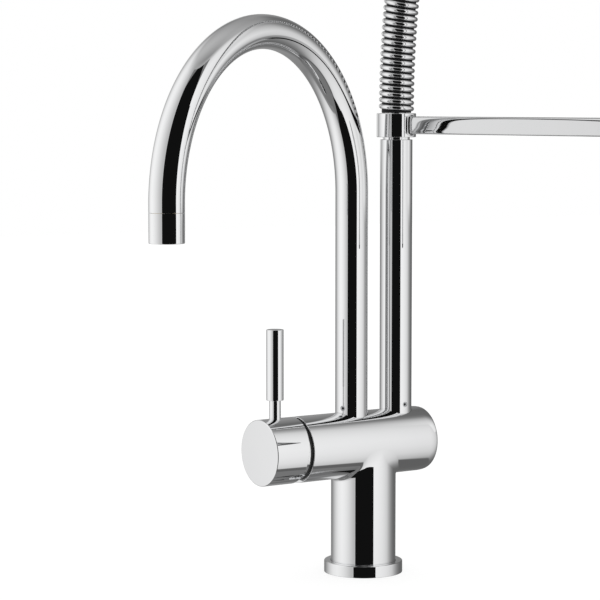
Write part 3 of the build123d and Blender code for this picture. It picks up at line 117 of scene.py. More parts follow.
class Skin:
    """A surface made of grids of (point, normal) pairs, so that its reflections stay true."""

    def __init__(self):
        self.points = []
        self.normals = []
        self.faces = []

    def face(self, corners):
        """A face without repeated corners, turned to agree with its corners' normals."""
        kept = []
        for corner in corners:
            if all((self.points[corner] - self.points[other]).length > SAME_PLACE for other in kept):
                kept.append(corner)
        if len(kept) < 3:
            return
        first, second, last = (self.points[kept[k]] for k in (0, 1, -1))
        facing = (second - first).cross(last - first)
        lean = sum((self.normals[corner] for corner in kept), Vector())
        self.faces.append(kept if facing.dot(lean) > 0 else kept[::-1])

    def grid(self, rows, wrap=False):
        """Rows of (point, normal) pairs; wrap joins each row's end to its start."""
        base = len(self.points)
        width = len(rows[0])
        for row in rows:
            for point, normal in row:
                self.points.append(point)
                self.normals.append(normal.normalized())
        for index in range(len(rows) - 1):
            for k in range(width if wrap else width - 1):
                first = base + index * width + k
                second = base + index * width + (k + 1) % width
                self.face((first, second, second + width, first + width))

    def patch(self, surface, u_stops, v_stops):
        """The part of a surface(u, v) over a grid of u and v stops."""
        self.grid([[surface(u, v) for v in v_stops] for u in u_stops])

    def drilled(self, surface, window, hole, depth, rings=5, per_side=14):
        """A window of a surface(u, v) with a hole(angle) in it, and the hole's wall.

        The rings crowd toward the hole.
        """
        crowding = 1.5
        u0, u1, v0, v1 = window
        middle = Vector(((u0 + u1) / 2, (v0 + v1) / 2))
        border = []
        for (ua, va), (ub, vb) in (
            ((u0, v0), (u1, v0)),
            ((u1, v0), (u1, v1)),
            ((u1, v1), (u0, v1)),
            ((u0, v1), (u0, v0)),
        ):
            for k in range(per_side):
                t = k / per_side
                border.append(Vector((ua + (ub - ua) * t, va + (vb - va) * t)))
        rim = []
        for point in border:
            offset = point - middle
            angle = math.atan2(offset.y / (v1 - v0), offset.x / (u1 - u0))
            rim.append(Vector(hole(angle)))
        rows = []
        for ring in range(rings + 1):
            t = (ring / rings) ** crowding
            rows.append([surface(*(a + (b - a) * t)) for a, b in zip(rim, border)])
        self.grid(rows, wrap=True)
        mouth = [point for point, _ in rows[0]]
        heart = sum(mouth, Vector()) / len(mouth)
        inward = [heart - point for point in mouth]
        sunk = [point + depth for point in mouth]
        self.grid([list(zip(mouth, inward)), list(zip(sunk, inward))], wrap=True)

    def piece(self, name, material, node, slot, rides=True):
        """The finished mesh, which stands for a CAD node and rides on that node's body."""
        mesh = bpy.data.meshes.new(name)
        mesh.from_pydata([tuple(point) for point in self.points], [], self.faces)
        mesh.shade_smooth()
        mesh.normals_split_custom_set_from_vertices([tuple(n) for n in self.normals])
        mesh.materials.append(material)
        result = bpy.data.objects.new(name, mesh)
        bpy.context.scene.collection.objects.link(result)
        if rides:
            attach(result, body_of(node))
        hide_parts(node)
        return result


def span_stops(first, last, count):
    return [first + (last - first) * k / count for k in range(count + 1)]


def perpendicular(axis):
    """Two directions at right angles to an axis and to each other."""
    nearly_upright = abs(axis.z) > 0.9
    helper = Vector((1, 0, 0)) if nearly_upright else UP
    side = (helper - axis * helper.dot(axis)).normalized()
    return side, axis.cross(side)


def softened(outline, edge, steps=5):
    """A closed outline of (radius, station) corners, each rounded, as (place, normal) pairs.

    A corner may name its own rounding as a third value.
    """
    corners = [Vector(corner[:2]) for corner in outline]
    count = len(corners)
    area = sum(
        corners[k - 1].x * corners[k].y - corners[k].x * corners[k - 1].y for k in range(count)
    )
    result = []
    for k, corner in enumerate(corners):
        before = corner - corners[k - 1]
        after = corners[(k + 1) % count] - corner
        rounding = outline[k][2] if len(outline[k]) > 2 else edge
        reach = min(rounding, LONGEST_ROUNDING * before.length, LONGEST_ROUNDING * after.length)
        sign = 1 if area > 0 else -1
        normal_in = Vector((before.y, -before.x)).normalized() * sign
        normal_out = Vector((after.y, -after.x)).normalized() * sign
        start = corner - before.normalized() * reach
        end = corner + after.normalized() * reach
        for step in range(steps + 1):
            t = step / steps
            place = start * (1 - t) ** 2 + corner * (2 * t * (1 - t)) + end * t * t
            result.append((place, normal_in.slerp(normal_out, t)))
    return result + result[:1]


def turn(skin, profile, origin, axis):
    """Turn (place, normal) pairs, each (radius, station), about an axis."""
    side, other = perpendicular(axis)
    rows = []
    for place, normal in profile:
        row = []
        for k in range(TURN_SEGMENTS):
            angle = TAU * k / TURN_SEGMENTS
            outward = side * math.cos(angle) + other * math.sin(angle)
            point = origin + axis * place.y + outward * max(place.x, 0)
            row.append((point, outward * normal.x + axis * normal.y))
        rows.append(row)
    skin.grid(rows, wrap=True)


def turned(name, outline, origin, axis, material, edge, **facts):
    """A turned piece from a closed outline of (radius, station) corners."""
    skin = Skin()
    turn(skin, softened(outline, edge), origin, axis)
    return skin.piece(name, material, **facts)


def tube_rings(path, side, radius, segments=96):
    """Rings of a round tube along a planar path of (point, tangent) pairs."""
    rows = []
    for point, tangent in path:
        across = side.cross(tangent)
        row = []
        for k in range(segments):
            angle = TAU * k / segments
            outward = side * math.cos(angle) + across * math.sin(angle)
            row.append((point + outward * radius, outward))
        rows.append(row)
    return rows


def end_ring(skin, point, tangent, side, outer, inner, edge):
    """The flat end of a tube that faces along the tangent, with a rounded outer edge."""
    rows = []
    steps = 4
    for step in range(steps + 1):
        turn_angle = math.pi / 2 * step / steps
        radius = outer - edge + edge * math.cos(turn_angle)
        lift = tangent * (edge * math.sin(turn_angle) - edge)
        row = []
        for spot, outward in tube_rings([(point, tangent)], side, radius)[0]:
            row.append((spot + lift, outward * math.cos(turn_angle) + tangent * math.sin(turn_angle)))
        rows.append(row)
    rows.append([(spot, tangent) for spot, _ in tube_rings([(point, tangent)], side, inner)[0]])
    skin.grid(rows, wrap=True)


# ---------------------------------------------------------------- materials

def new_material(name):
    material = bpy.data.materials.new(name)
    material.use_nodes = True
    nodes = material.node_tree.nodes
    shader = nodes["Principled BSDF"]
    coordinates = nodes.new("ShaderNodeTexCoord")
    return material, nodes, material.node_tree.links, shader, coordinates


def noise(nodes, links, vector, scale, detail=4.0, stretch=None):
    """Noise over the object's own coordinates, stretched along an axis where one is given."""
    texture = nodes.new("ShaderNodeTexNoise")
    texture.inputs["Scale"].default_value = scale
    texture.inputs["Detail"].default_value = detail
    if stretch:
        mapping = nodes.new("ShaderNodeMapping")
        mapping.inputs["Scale"].default_value = stretch
        links.new(vector, mapping.inputs["Vector"])
        vector = mapping.outputs["Vector"]
    links.new(vector, texture.inputs["Vector"])
    return texture.outputs["Fac"]


def ramp(nodes, links, factor, stops):
    """Colour by a factor from 0 to 1, from (factor, colour) stops."""
    node = nodes.new("ShaderNodeValToRGB")
    elements = node.color_ramp.elements
    while len(elements) > len(stops):
        elements.remove(elements[-1])
    while len(elements) < len(stops):
        elements.new(0.5)
    for element, (position, colour) in zip(elements, stops):
        element.position = position
        element.color = (*colour, 1.0)
    links.new(factor, node.inputs["Fac"])
    return node.outputs["Color"]


NOISE_LOW = 0.3
NOISE_HIGH = 0.7


def span(nodes, links, factor, low, high):
    """A value between low and high that follows a noise's usual range."""
    node = nodes.new("ShaderNodeMapRange")
    node.inputs["From Min"].default_value = NOISE_LOW
    node.inputs["From Max"].default_value = NOISE_HIGH
    node.inputs["To Min"].default_value = low
    node.inputs["To Max"].default_value = high
    links.new(factor, node.inputs["Value"])
    return node.outputs["Result"]


def bump(nodes, links, shader, height, strength, distance):
    node = nodes.new("ShaderNodeBump")
    node.inputs["Strength"].default_value = strength
    node.inputs["Distance"].default_value = distance
    links.new(height, node.inputs["Height"])
    links.new(node.outputs["Normal"], shader.inputs["Normal"])


def chrome_plate(name, tone=0.86, haze=(0.008, 0.03)):
    """Polished chrome: near-mirror, with faint polishing haze and the finest waviness."""
    material, nodes, links, shader, coordinates = new_material(name)
    place = coordinates.outputs["Object"]
    smudge = noise(nodes, links, place, scale=45.0, detail=5.0)
    dull = (tone * 0.975, tone * 0.982, tone * 0.99)
    clear = (tone, tone, tone * 1.005)
    tint = [(0.0, dull), (1.0, clear)]
    links.new(ramp(nodes, links, smudge, tint), shader.inputs["Base Color"])
    polish = noise(nodes, links, place, scale=260.0, detail=6.0, stretch=(1.0, 1.0, 0.35))
    links.new(span(nodes, links, polish, *haze), shader.inputs["Roughness"])
    shader.inputs["Metallic"].default_value = 1.0
    waviness = noise(nodes, links, place, scale=120.0, detail=2.0)
    bump(nodes, links, shader, waviness, strength=0.004, distance=0.2 * MM)
    return material


def machined_metal(name, dark, light, roughness, stretch):
    """Cut or drawn metal, with fine tool marks along one direction."""
    material, nodes, links, shader, coordinates = new_material(name)
    place = coordinates.outputs["Object"]
    marks = noise(nodes, links, place, scale=900.0, detail=3.0, stretch=stretch)
    tones = [(NOISE_LOW, dark), (NOISE_HIGH, light)]
    links.new(ramp(nodes, links, marks, tones), shader.inputs["Base Color"])
    links.new(span(nodes, links, marks, *roughness), shader.inputs["Roughness"])
    shader.inputs["Metallic"].default_value = 1.0
    bump(nodes, links, shader, marks, strength=0.15, distance=0.08 * MM)
    return material


def moulded(name, dark, light, roughness, grain=1400.0, depth=0.06 * MM):
    """Moulded plastic, rubber or ceramic, with fine grain and a little colour variation."""
    material, nodes, links, shader, coordinates = new_material(name)
    place = coordinates.outputs["Object"]
    cloud = noise(nodes, links, place, scale=90.0)
    tones = [(NOISE_LOW, dark), (NOISE_HIGH, light)]
    links.new(ramp(nodes, links, cloud, tones), shader.inputs["Base Color"])
    fine = noise(nodes, links, place, scale=grain, detail=3.0)
    links.new(span(nodes, links, fine, *roughness), shader.inputs["Roughness"])
    bump(nodes, links, shader, fine, strength=0.35, distance=depth)
    return material


def braided_cover(name):
    """Dark hose cover with a fine woven braid."""
    material, nodes, links, shader, coordinates = new_material(name)
    place = coordinates.outputs["Object"]
    weave = nodes.new("ShaderNodeTexVoronoi")
    weave.inputs["Scale"].default_value = 700.0
    links.new(place, weave.inputs["Vector"])
    distance = weave.outputs["Distance"]
    dark_to_light = [(0.0, (0.004, 0.004, 0.004)), (0.6, (0.012, 0.012, 0.013))]
    links.new(ramp(nodes, links, distance, dark_to_light), shader.inputs["Base Color"])
    links.new(span(nodes, links, distance, low=0.5, high=0.65), shader.inputs["Roughness"])
    shader.inputs["Specular IOR Level"].default_value = 0.2
    bump(nodes, links, shader, distance, strength=0.4, distance=0.2 * MM)
    return material


ALONG_Z = (1, 1, 0.1)
CHROME = chrome_plate("polished_chrome")
SPRING_WIRE = chrome_plate("spring_wire", tone=0.84, haze=(0.02, 0.05))
# The arm's chrome is a darker copy of the same plate: painted shade that deepens the dark bands on the
# bar.
SHADED_ARM_CHROME = chrome_plate("arm_chrome_shaded", tone=0.68, haze=(0.02, 0.05))
STEEL = machined_metal("machined_steel", (0.42, 0.43, 0.44), (0.62, 0.63, 0.64), (0.2, 0.35), ALONG_Z)
BRASS = machined_metal("machined_brass", (0.58, 0.42, 0.18), (0.75, 0.58, 0.3), (0.22, 0.38), ALONG_Z)
RUBBER = moulded("seal_rubber", (0.012, 0.012, 0.012), (0.028, 0.028, 0.028), (0.5, 0.7))
HOSE = braided_cover("hose_cover")
PALE_PLASTIC = moulded("cartridge_plastic", (0.62, 0.62, 0.58), (0.74, 0.74, 0.71), (0.35, 0.5))
DARK_PLASTIC = moulded("dark_plastic", (0.022, 0.022, 0.024), (0.045, 0.045, 0.048), (0.32, 0.48))
GREY_PLASTIC = moulded("aerator_plastic", (0.32, 0.33, 0.35), (0.42, 0.43, 0.45), (0.3, 0.45))
CERAMIC = moulded(
    "disc_ceramic", (0.8, 0.8, 0.77), (0.9, 0.9, 0.88), (0.08, 0.16), grain=2000.0, depth=0.02 * MM
)

SLOT_MATERIALS = {
    "chrome": CHROME,
    "steel": STEEL,
    "spring_steel": SPRING_WIRE,
    "brass": BRASS,
    "rubber_black": RUBBER,
    "hose_rubber": HOSE,
    "cartridge_plastic": PALE_PLASTIC,
    "dark_plastic": DARK_PLASTIC,
    "aerator_plastic": GREY_PLASTIC,
    "disc_ceramic": CERAMIC,
}


def dress_cad_nodes():
    """Every CAD node gets its slot's procedural material."""
    for part in frame["record"]["subparts"]:
        node = frame["nodes"][part["node"]]
        node.data.materials.clear()
        node.data.materials.append(SLOT_MATERIALS[part["material_slot"]])


dress_cad_nodes()


# ---------------------------------------------------------------- body, flange and lever

COLUMN_RADIUS = 24.1 * MM
COLUMN_FOOT = 2.5 * MM
BARREL_RADIUS = 24.3 * MM
BARREL_START = -61.0 * MM
BARREL_END = 51.9 * MM
BARREL_OPEN_EDGE = 0.4 * MM
BARREL_FAR_EDGE = 7.0 * MM
BARREL_FAR_INSET = 1.2 * MM
BARREL_BORE = 19.35 * MM
BARREL_BORE_SHOWN = 9.0 * MM
COLUMN_BORE = 19.0 * MM
CROTCH_BALL = 3.0 * MM
CROTCH_SPREAD = 0.95
PLUG_RECESS = 14.5 * MM
PLUG_RECESS_DEPTH = 3.0 * MM
SPOUT_SOCKET = 12.25 * MM
RISER_SOCKET = 12.1 * MM
SOCKET_DEPTH = 6.0 * MM
SOCKET_WINDOW = 14.0 * MM
BARREL_BROW = math.radians(35)
SCREW_HOLE = 1.5 * MM
SCREW_HOLE_DEPTH = 2.0 * MM
SCREW_WINDOW = 4.0 * MM
SCREW_WINDOW_LEAN = math.radians(9)
ALONG = Vector((1, 0, 0))
BARREL_CENTRE = UP * BARREL_HEIGHT


def barrel_surface(x, angle):
    """Barrel skin at a station and an angle from the top, toward +Y."""
    outward = Vector((0, math.sin(angle), math.cos(angle)))
    return BARREL_CENTRE + ALONG * x + outward * BARREL_RADIUS, outward


def crotch_sections():
    """Sections of the soft blend between column and barrel, all round the column.

    The blend is tight in the two crotches and widens fast toward the front and the back,
    where the two cylinders meet almost flush.
    """
    rows = []
    count = 240
    steps = 10
    for k in range(count + 1):
        angle = TAU * k / count
        ball = CROTCH_BALL / (1 - CROTCH_SPREAD * math.sin(angle) ** 2)
        reach = COLUMN_RADIUS + ball
        spot = Vector((reach * math.cos(angle), reach * math.sin(angle), 0))
        drop = math.sqrt((BARREL_RADIUS + ball) ** 2 - spot.y ** 2)
        centre = Vector((spot.x, spot.y, BARREL_HEIGHT - drop))
        to_column = Vector((-math.cos(angle), -math.sin(angle), 0))
        to_barrel = Vector((0, -spot.y, drop)).normalized()
        row = []
        for step in range(steps + 1):
            direction = to_column.slerp(to_barrel, step / steps)
            row.append((centre + direction * ball, -direction))
        rows.append(row)
    return rows


def lower_body(skin, sections, quarter, start, end):
    """The blend, the column's wall below it, and the barrel's underside out to each end."""
    skin.grid(sections)
    contact = [section[0] for section in sections]
    skin.grid([[(level(point, COLUMN_FOOT), normal) for point, normal in contact], contact])
    for x_end, low, high in ((end, -quarter, quarter), (start, quarter, 3 * quarter)):
        inner = [sections[k % (4 * quarter)][-1] for k in range(low, high + 1)]
        outer = [(Vector((x_end, point.y, point.z)), normal) for point, normal in inner]
        skin.grid([inner, outer])


def barrel_top(skin, start, end):
    """The barrel's top, with the sockets of the spout and the riser."""
    near, far = JOURNAL_AXIS.x, RISER_AXIS.x
    across = span_stops(-BARREL_BROW, BARREL_BROW, 36)
    for first, last in (
        (start, near - SOCKET_WINDOW),
        (near + SOCKET_WINDOW, far - SOCKET_WINDOW),
        (far + SOCKET_WINDOW, end),
    ):
        skin.patch(barrel_surface, span_stops(first, last, 2), across)
    for centre_x, radius in ((near, SPOUT_SOCKET), (far, RISER_SOCKET)):

        def socket(angle):
            return (
                centre_x + radius * math.cos(angle),
                math.asin(radius * math.sin(angle) / BARREL_RADIUS),
            )

        window = (centre_x - SOCKET_WINDOW, centre_x + SOCKET_WINDOW, -BARREL_BROW, BARREL_BROW)
        skin.drilled(barrel_surface, window, socket, -UP * SOCKET_DEPTH, per_side=24)


def barrel_back(skin, start, end, side_angle):
    """The barrel's back, with the hole of the screw that holds the spout."""
    centre_x = JOURNAL_AXIS.x
    height = middle_of("spout_retaining_screw").z - BARREL_HEIGHT

    def screw_hole(angle):
        return (
            centre_x + SCREW_HOLE * math.cos(angle),
            math.acos((height - SCREW_HOLE * math.sin(angle)) / BARREL_RADIUS),
        )

    middle = math.acos(height / BARREL_RADIUS)
    low, high = middle - SCREW_WINDOW_LEAN, middle + SCREW_WINDOW_LEAN
    left, right = centre_x - SCREW_WINDOW, centre_x + SCREW_WINDOW
    skin.drilled(barrel_surface, (left, right, low, high), screw_hole, Vector((0, -SCREW_HOLE_DEPTH, 0)))
    skin.patch(barrel_surface, [start, end], span_stops(BARREL_BROW, low, 6))
    skin.patch(barrel_surface, [start, left], span_stops(low, high, 9))
    skin.patch(barrel_surface, [right, end], span_stops(low, high, 9))
    skin.patch(barrel_surface, [start, end], span_stops(high, side_angle, 20))


def corner_run(outline, corners, steps):
    """Part of a softened outline: its corners from the second on, and the start of the next."""
    each = steps + 1
    return softened(outline, 0, steps)[each:(corners + 1) * each + 1]


def barrel_ends(skin, start, end):
    """The domed far end with the plug's recess, and the open end on the lever's side."""
    far_end = []
    steps = 16
    for step in range(steps + 1):
        tilt = math.pi / 2 * step / steps
        radius = BARREL_RADIUS - BARREL_FAR_INSET * (1 - math.cos(tilt))
        lean = Vector((BARREL_FAR_EDGE * math.cos(tilt), BARREL_FAR_INSET * math.sin(tilt)))
        far_end.append((Vector((radius, end + BARREL_FAR_EDGE * math.sin(tilt))), lean.normalized()))
    recess = [
        (BARREL_RADIUS - BARREL_FAR_INSET, BARREL_END),
        (PLUG_RECESS, BARREL_END, 0.2 * MM),
        (PLUG_RECESS, BARREL_END - PLUG_RECESS_DEPTH),
    ]
    turn(skin, far_end + corner_run(recess, 1, 12), BARREL_CENTRE, ALONG)
    mouth = [
        (BARREL_RADIUS, start + MM),
        (BARREL_RADIUS, BARREL_START, BARREL_OPEN_EDGE),
        (BARREL_BORE, BARREL_START, 0.1 * MM),
        (BARREL_BORE, BARREL_START + BARREL_BORE_SHOWN),
    ]
    turn(skin, corner_run(mouth, 2, 8), BARREL_CENTRE, ALONG)


def cast_body():
    skin = Skin()
    sections = crotch_sections()
    start = BARREL_START + BARREL_OPEN_EDGE
    end = BARREL_END - BARREL_FAR_EDGE
    quarter = (len(sections) - 1) // 4
    lower_body(skin, sections, quarter, start, end)
    barrel_top(skin, start, end)
    back_contact = sections[quarter][-1][0]
    side_angle = math.atan2(back_contact.y, back_contact.z - BARREL_HEIGHT)
    skin.patch(barrel_surface, [start, end], span_stops(-side_angle, -BARREL_BROW, 36))
    barrel_back(skin, start, end, side_angle)
    barrel_ends(skin, start, end)
    foot = [(Vector((radius, COLUMN_FOOT)), Vector((0, -1))) for radius in (COLUMN_RADIUS, COLUMN_BORE)]
    turn(skin, foot, Vector(), UP)
    return skin.piece("body_shell", CHROME, node="body_casting", slot="chrome")


CAP_RADIUS = 24.2 * MM
CAP_FACE = -92.9 * MM
CAP_EDGE = 0.8 * MM
CAP_RIM_MIDDLE = -65.5 * MM
CAP_RIM_SLOPE = 5.0 / 48.4
CAP_INNER = 21.5 * MM
CAP_FLOOR = 2.0 * MM
CAP_RIM_EDGE = 0.25 * MM
CAP_SPHERE = 23.5 * MM
PIVOT_X = -57.0 * MM


def rim_x(height):
    """The station of the cap's slanted rim at a height from the barrel's axis."""
    return CAP_RIM_MIDDLE + CAP_RIM_SLOPE * height


def cap_face():
    """The cap's flat face and its rounded edge, as (radius, station, normal)."""
    flat = CAP_RADIUS - CAP_EDGE
    rows = [(flat * t, CAP_FACE, Vector((-1, 0))) for t in (0.0, 0.5, 1.0)]
    steps = 8
    for step in range(1, steps + 1):
        angle = math.pi / 2 * step / steps
        radius = flat + CAP_EDGE * math.sin(angle)
        station = CAP_FACE + CAP_EDGE - CAP_EDGE * math.cos(angle)
        rows.append((radius, station, Vector((-math.cos(angle), math.sin(angle)))))
    return rows


def cap_shell():
    """The lever's cap: a flat-faced cup whose rim is cut at a slant."""
    skin = Skin()
    count = 180
    spokes = []
    for k in range(count):
        angle = TAU * k / count
        spokes.append(Vector((0, math.sin(angle), math.cos(angle))))
    rows = []
    for radius, station, normal in cap_face():
        row = []
        for outward in spokes:
            point = BARREL_CENTRE + ALONG * station + outward * radius
            row.append((point, ALONG * normal.x + outward * normal.y))
        rows.append(row)
    skin.grid(rows, wrap=True)
    rim_normal = Vector((1, 0, -CAP_RIM_SLOPE)).normalized()
    wall, lip, inside, deep = [], [], [], []
    for outward in spokes:
        x = rim_x(CAP_RADIUS * outward.z)
        shoulder = BARREL_CENTRE + ALONG * (CAP_FACE + CAP_EDGE) + outward * CAP_RADIUS
        wall.append((shoulder, outward))
        lip.append((BARREL_CENTRE + ALONG * (x - CAP_RIM_EDGE) + outward * CAP_RADIUS, outward))
        ball = math.sqrt(max(CAP_SPHERE ** 2 - (x - PIVOT_X) ** 2, CAP_INNER ** 2))
        inside.append((BARREL_CENTRE + ALONG * rim_x(ball * outward.z) + outward * ball, outward))
        deep.append((BARREL_CENTRE + ALONG * (CAP_FACE + CAP_FLOOR) + outward * CAP_INNER, -outward))
    skin.grid([wall, lip], wrap=True)
    bevel = []
    steps = 4
    for step in range(steps + 1):
        tilt = step / steps * math.pi / 2
        row = []
        for point, outward in lip:
            around = outward * math.cos(tilt) + rim_normal * math.sin(tilt)
            row.append((point - outward * CAP_RIM_EDGE + around * CAP_RIM_EDGE, around))
        bevel.append(row)
    bevel.append([(point, rim_normal) for point, _ in inside])
    skin.grid(bevel, wrap=True)
    skin.grid([[(point, -outward) for point, outward in inside], deep], wrap=True)
    return skin.piece("cap_shell", CHROME, node="handle_cap", slot="chrome")


BONNET_SPHERE = 23.1 * MM
BONNET_FRONT = -70.5 * MM
BONNET_BACK = -63.0 * MM
BONNET_SHOULDER = -65.3 * MM
BONNET_LEAN = 0.35
BONNET_BORE = 12.5 * MM
BONNET_SEAT = 17.1 * MM
# The dark ring in the bonnet's groove stands in for the groove's shadow: painted shade.
SHADE_RING_INNER = 17.2 * MM
SHADE_RING_OUTER = 22.3 * MM
SHADE_RING_FRONT = -63.3 * MM
SHADE_RING_GAP = 0.05 * MM


def bonnet_dome():
    """The domed ring that fills the gap between the cap and the barrel."""
    profile = []
    for x in span_stops(BONNET_BACK, BONNET_FRONT, 10):
        lean = math.asin((x - PIVOT_X) / BONNET_SPHERE) * BONNET_LEAN
        radius = math.sqrt(BONNET_SPHERE ** 2 - (x - PIVOT_X) ** 2)
        profile.append((Vector((radius, x)), Vector((math.cos(lean), math.sin(lean)))))
    toward_cap, inward = Vector((0, -1)), Vector((-1, 0))
    for normal, corners in (
        (toward_cap, ((profile[-1][0].x, BONNET_FRONT), (BONNET_BORE, BONNET_FRONT))),
        (inward, ((BONNET_BORE, BONNET_FRONT), (BONNET_BORE, BONNET_SHOULDER))),
        (-toward_cap, ((BONNET_BORE, BONNET_SHOULDER), (BONNET_SEAT, BONNET_SHOULDER))),
        (inward, ((BONNET_SEAT, BONNET_SHOULDER), (BONNET_SEAT, BARREL_START))),
    ):
        profile += [(Vector(corner), normal) for corner in corners]
    skin = Skin()
    turn(skin, profile, BARREL_CENTRE, ALONG)
    return skin.piece("bonnet_dome", CHROME, node="bonnet_ring", slot="chrome")


cast_body()
cap_shell()
bonnet_dome()

# Painted shade: a black rubber ring at the bottom of the groove between the bonnet and the barrel, a dark
# ring put where the groove's shadow falls
groove_shade_ring = [
    (SHADE_RING_INNER, SHADE_RING_FRONT),
    (SHADE_RING_OUTER, SHADE_RING_FRONT),
    (SHADE_RING_OUTER, BARREL_START - SHADE_RING_GAP),
    (SHADE_RING_INNER, BARREL_START - SHADE_RING_GAP),
]
turned(
    "bonnet_groove_shade", groove_shade_ring, BARREL_CENTRE, ALONG, RUBBER, 0.3 * MM, node="bonnet_ring", slot="rubber_black"
)

FLANGE_RADIUS = 29.2 * MM
FLANGE_TOP = 8.7 * MM
FLANGE_NECK = 24.25 * MM
FLANGE_BORE = 20.0 * MM
flange = [
    (FLANGE_BORE, 0),
    (FLANGE_RADIUS, 0, 0.2 * MM),
    (FLANGE_RADIUS, FLANGE_TOP, 0.9 * MM),
    (FLANGE_NECK, FLANGE_TOP, 0.6 * MM),
    (FLANGE_NECK, COLUMN_FOOT),
    (FLANGE_BORE, COLUMN_FOOT),
]
turned("flange_ring", flange, Vector(), UP, CHROME, 0.1 * MM, node="base_flange", slot="chrome")

STEM_RADIUS = 4.25 * MM
STEM_FOOT = 103.5 * MM
STEM_TOP = 165.0 * MM
stem = [(0, STEM_FOOT), (STEM_RADIUS, STEM_FOOT), (STEM_RADIUS, STEM_TOP), (0, STEM_TOP)]
turned("stem_rod", stem, LEVER_AXIS, UP, CHROME, 0.1 * MM, node="lever_stem", slot="chrome")

GRIP_RADIUS = 6.3 * MM
GRIP_FOOT = 134.0 * MM
GRIP_TOP = 185.5 * MM
grip = [
    (STEM_RADIUS, GRIP_FOOT),
    (GRIP_RADIUS, GRIP_FOOT, 0.45 * MM),
    (GRIP_RADIUS, GRIP_TOP, 0.6 * MM),
    (0, GRIP_TOP, 0),
    (0, STEM_TOP, 0),
    (STEM_RADIUS, STEM_TOP, 0),
]
turned("grip_rod", grip, LEVER_AXIS, UP, CHROME, 0.05 * MM, node="lever_grip", slot="chrome")


# ---------------------------------------------------------------- tubes and outlet

TUBE_RADIUS = 12.0 * MM
TUBE_BORE = 10.5 * MM
GRUB_HEIGHT = middle_of("riser_grub_screw").z
GRUB_RADIUS = 2.0 * MM
GRUB_DEPTH = 2.0 * MM
GRUB_WINDOW = 5.0 * MM
GRUB_WINDOW_SIDE = math.radians(28)
SPOUT_FOOT = 115.05 * MM
SPOUT_STRAIGHT_TOP = 283.0 * MM
SPOUT_ARCH = 115.0 * MM
SPOUT_END = 277.3 * MM
SPOUT_END_EDGE = 0.12 * MM
RISER_FOOT = 114.0 * MM
RISER_TOP = 321.5 * MM
RISER_TOP_BORE = 9.9 * MM
RISER_TOP_EDGE = 0.4 * MM


def drilled_foot(skin, axis_point, facing, foot, top):
    """The straight foot of a tube, with its grub screw's hole facing one way."""
    hole_angle = math.atan2(facing.y, facing.x)
    first, last = hole_angle - GRUB_WINDOW_SIDE, hole_angle + GRUB_WINDOW_SIDE
    low, high = GRUB_HEIGHT - GRUB_WINDOW, GRUB_HEIGHT + GRUB_WINDOW

    def surface(angle, height):
        outward = Vector((math.cos(angle), math.sin(angle), 0))
        return level(axis_point, height) + outward * TUBE_RADIUS, outward

    def hole(angle):
        across = math.asin(GRUB_RADIUS * math.cos(angle) / TUBE_RADIUS)
        return hole_angle + across, GRUB_HEIGHT + GRUB_RADIUS * math.sin(angle)

    skin.drilled(surface, (first, last, low, high), hole, -facing * GRUB_DEPTH, rings=8, per_side=16)
    skin.patch(surface, span_stops(last, first + TAU, 90), [low, high])
    circle = span_stops(0, TAU, 144)
    skin.patch(surface, circle, [foot, low])
    skin.patch(surface, circle, [high, top])


def spout_pipe():
    skin = Skin()
    drilled_foot(skin, JOURNAL_AXIS, SPOUT_OUT, SPOUT_FOOT, SPOUT_STRAIGHT_TOP)
    path = []
    for turned_by in span_stops(0, math.pi, 160):
        out = SPOUT_ARCH * (1 - math.cos(turned_by))
        height = SPOUT_STRAIGHT_TOP + SPOUT_ARCH * math.sin(turned_by)
        point = level(JOURNAL_AXIS, height) + SPOUT_OUT * out
        path.append((point, SPOUT_OUT * math.sin(turned_by) + UP * math.cos(turned_by)))
    path.append((level(OUTLET_AXIS, SPOUT_END + SPOUT_END_EDGE), -UP))
    skin.grid(tube_rings(path, SPOUT_SIDE, TUBE_RADIUS, 144), wrap=True)
    mouth = level(OUTLET_AXIS, SPOUT_END)
    end_ring(skin, mouth, -UP, SPOUT_SIDE, TUBE_RADIUS, TUBE_BORE, SPOUT_END_EDGE)
    return skin.piece("spout_pipe", CHROME, node="spout_tube", slot="chrome")


def riser_pipe():
    skin = Skin()
    drilled_foot(skin, RISER_AXIS, Vector((0, -1, 0)), RISER_FOOT, RISER_TOP - RISER_TOP_EDGE)
    rim = level(RISER_AXIS, RISER_TOP)
    end_ring(skin, rim, UP, ALONG, TUBE_RADIUS, RISER_TOP_BORE, RISER_TOP_EDGE)
    return skin.piece("riser_pipe", CHROME, node="riser_tube", slot="chrome")


spout_pipe()
riser_pipe()

SHELL_FOOT = 257.0 * MM
SHELL_LIP_TOP = 258.6 * MM
SHELL_TOP = 277.15 * MM
SHELL_BORE = 10.2 * MM
SHELL_LIP_BORE = 8.8 * MM
shell = [
    (SHELL_LIP_BORE, SHELL_FOOT, 0.3 * MM),
    (TUBE_RADIUS, SHELL_FOOT, 0.6 * MM),
    (TUBE_RADIUS, SHELL_TOP, 0.12 * MM),
    (SHELL_BORE, SHELL_TOP),
    (SHELL_BORE, SHELL_LIP_TOP),
    (SHELL_LIP_BORE, SHELL_LIP_TOP),
]
turned("outlet_shell", shell, OUTLET_AXIS, UP, CHROME, 0.1 * MM, node="aerator_shell", slot="chrome")


# ---------------------------------------------------------------- arm

COLLAR_FOOT, COLLAR_TOP = (corner.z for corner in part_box("arm_collar"))
COLLAR_RADIUS = 14.6 * MM
COLLAR_EDGE = 0.5 * MM
COLLAR_BORE = 11.0 * MM
COLLAR_NECK = 7.3 * MM
COLLAR_SHOULDER = 338.3 * MM
BAR_HALF_HEIGHT = 6.8 * MM
BAR_HALF_THICKNESS = 2.25 * MM
BAR_EDGE = 1.3 * MM
BAR_EDGE_FLATTENING = 0.9
BAR_CROWN = math.radians(14)
BAR_MIDDLE = 332.2 * MM
BAR_START = 12.5 * MM
BAR_END = ARM_REACH - 18.3 * MM
FLARE = 2.4 * MM
FLARE_START = 16.9 * MM
FLARE_RISE = 1.5 * MM

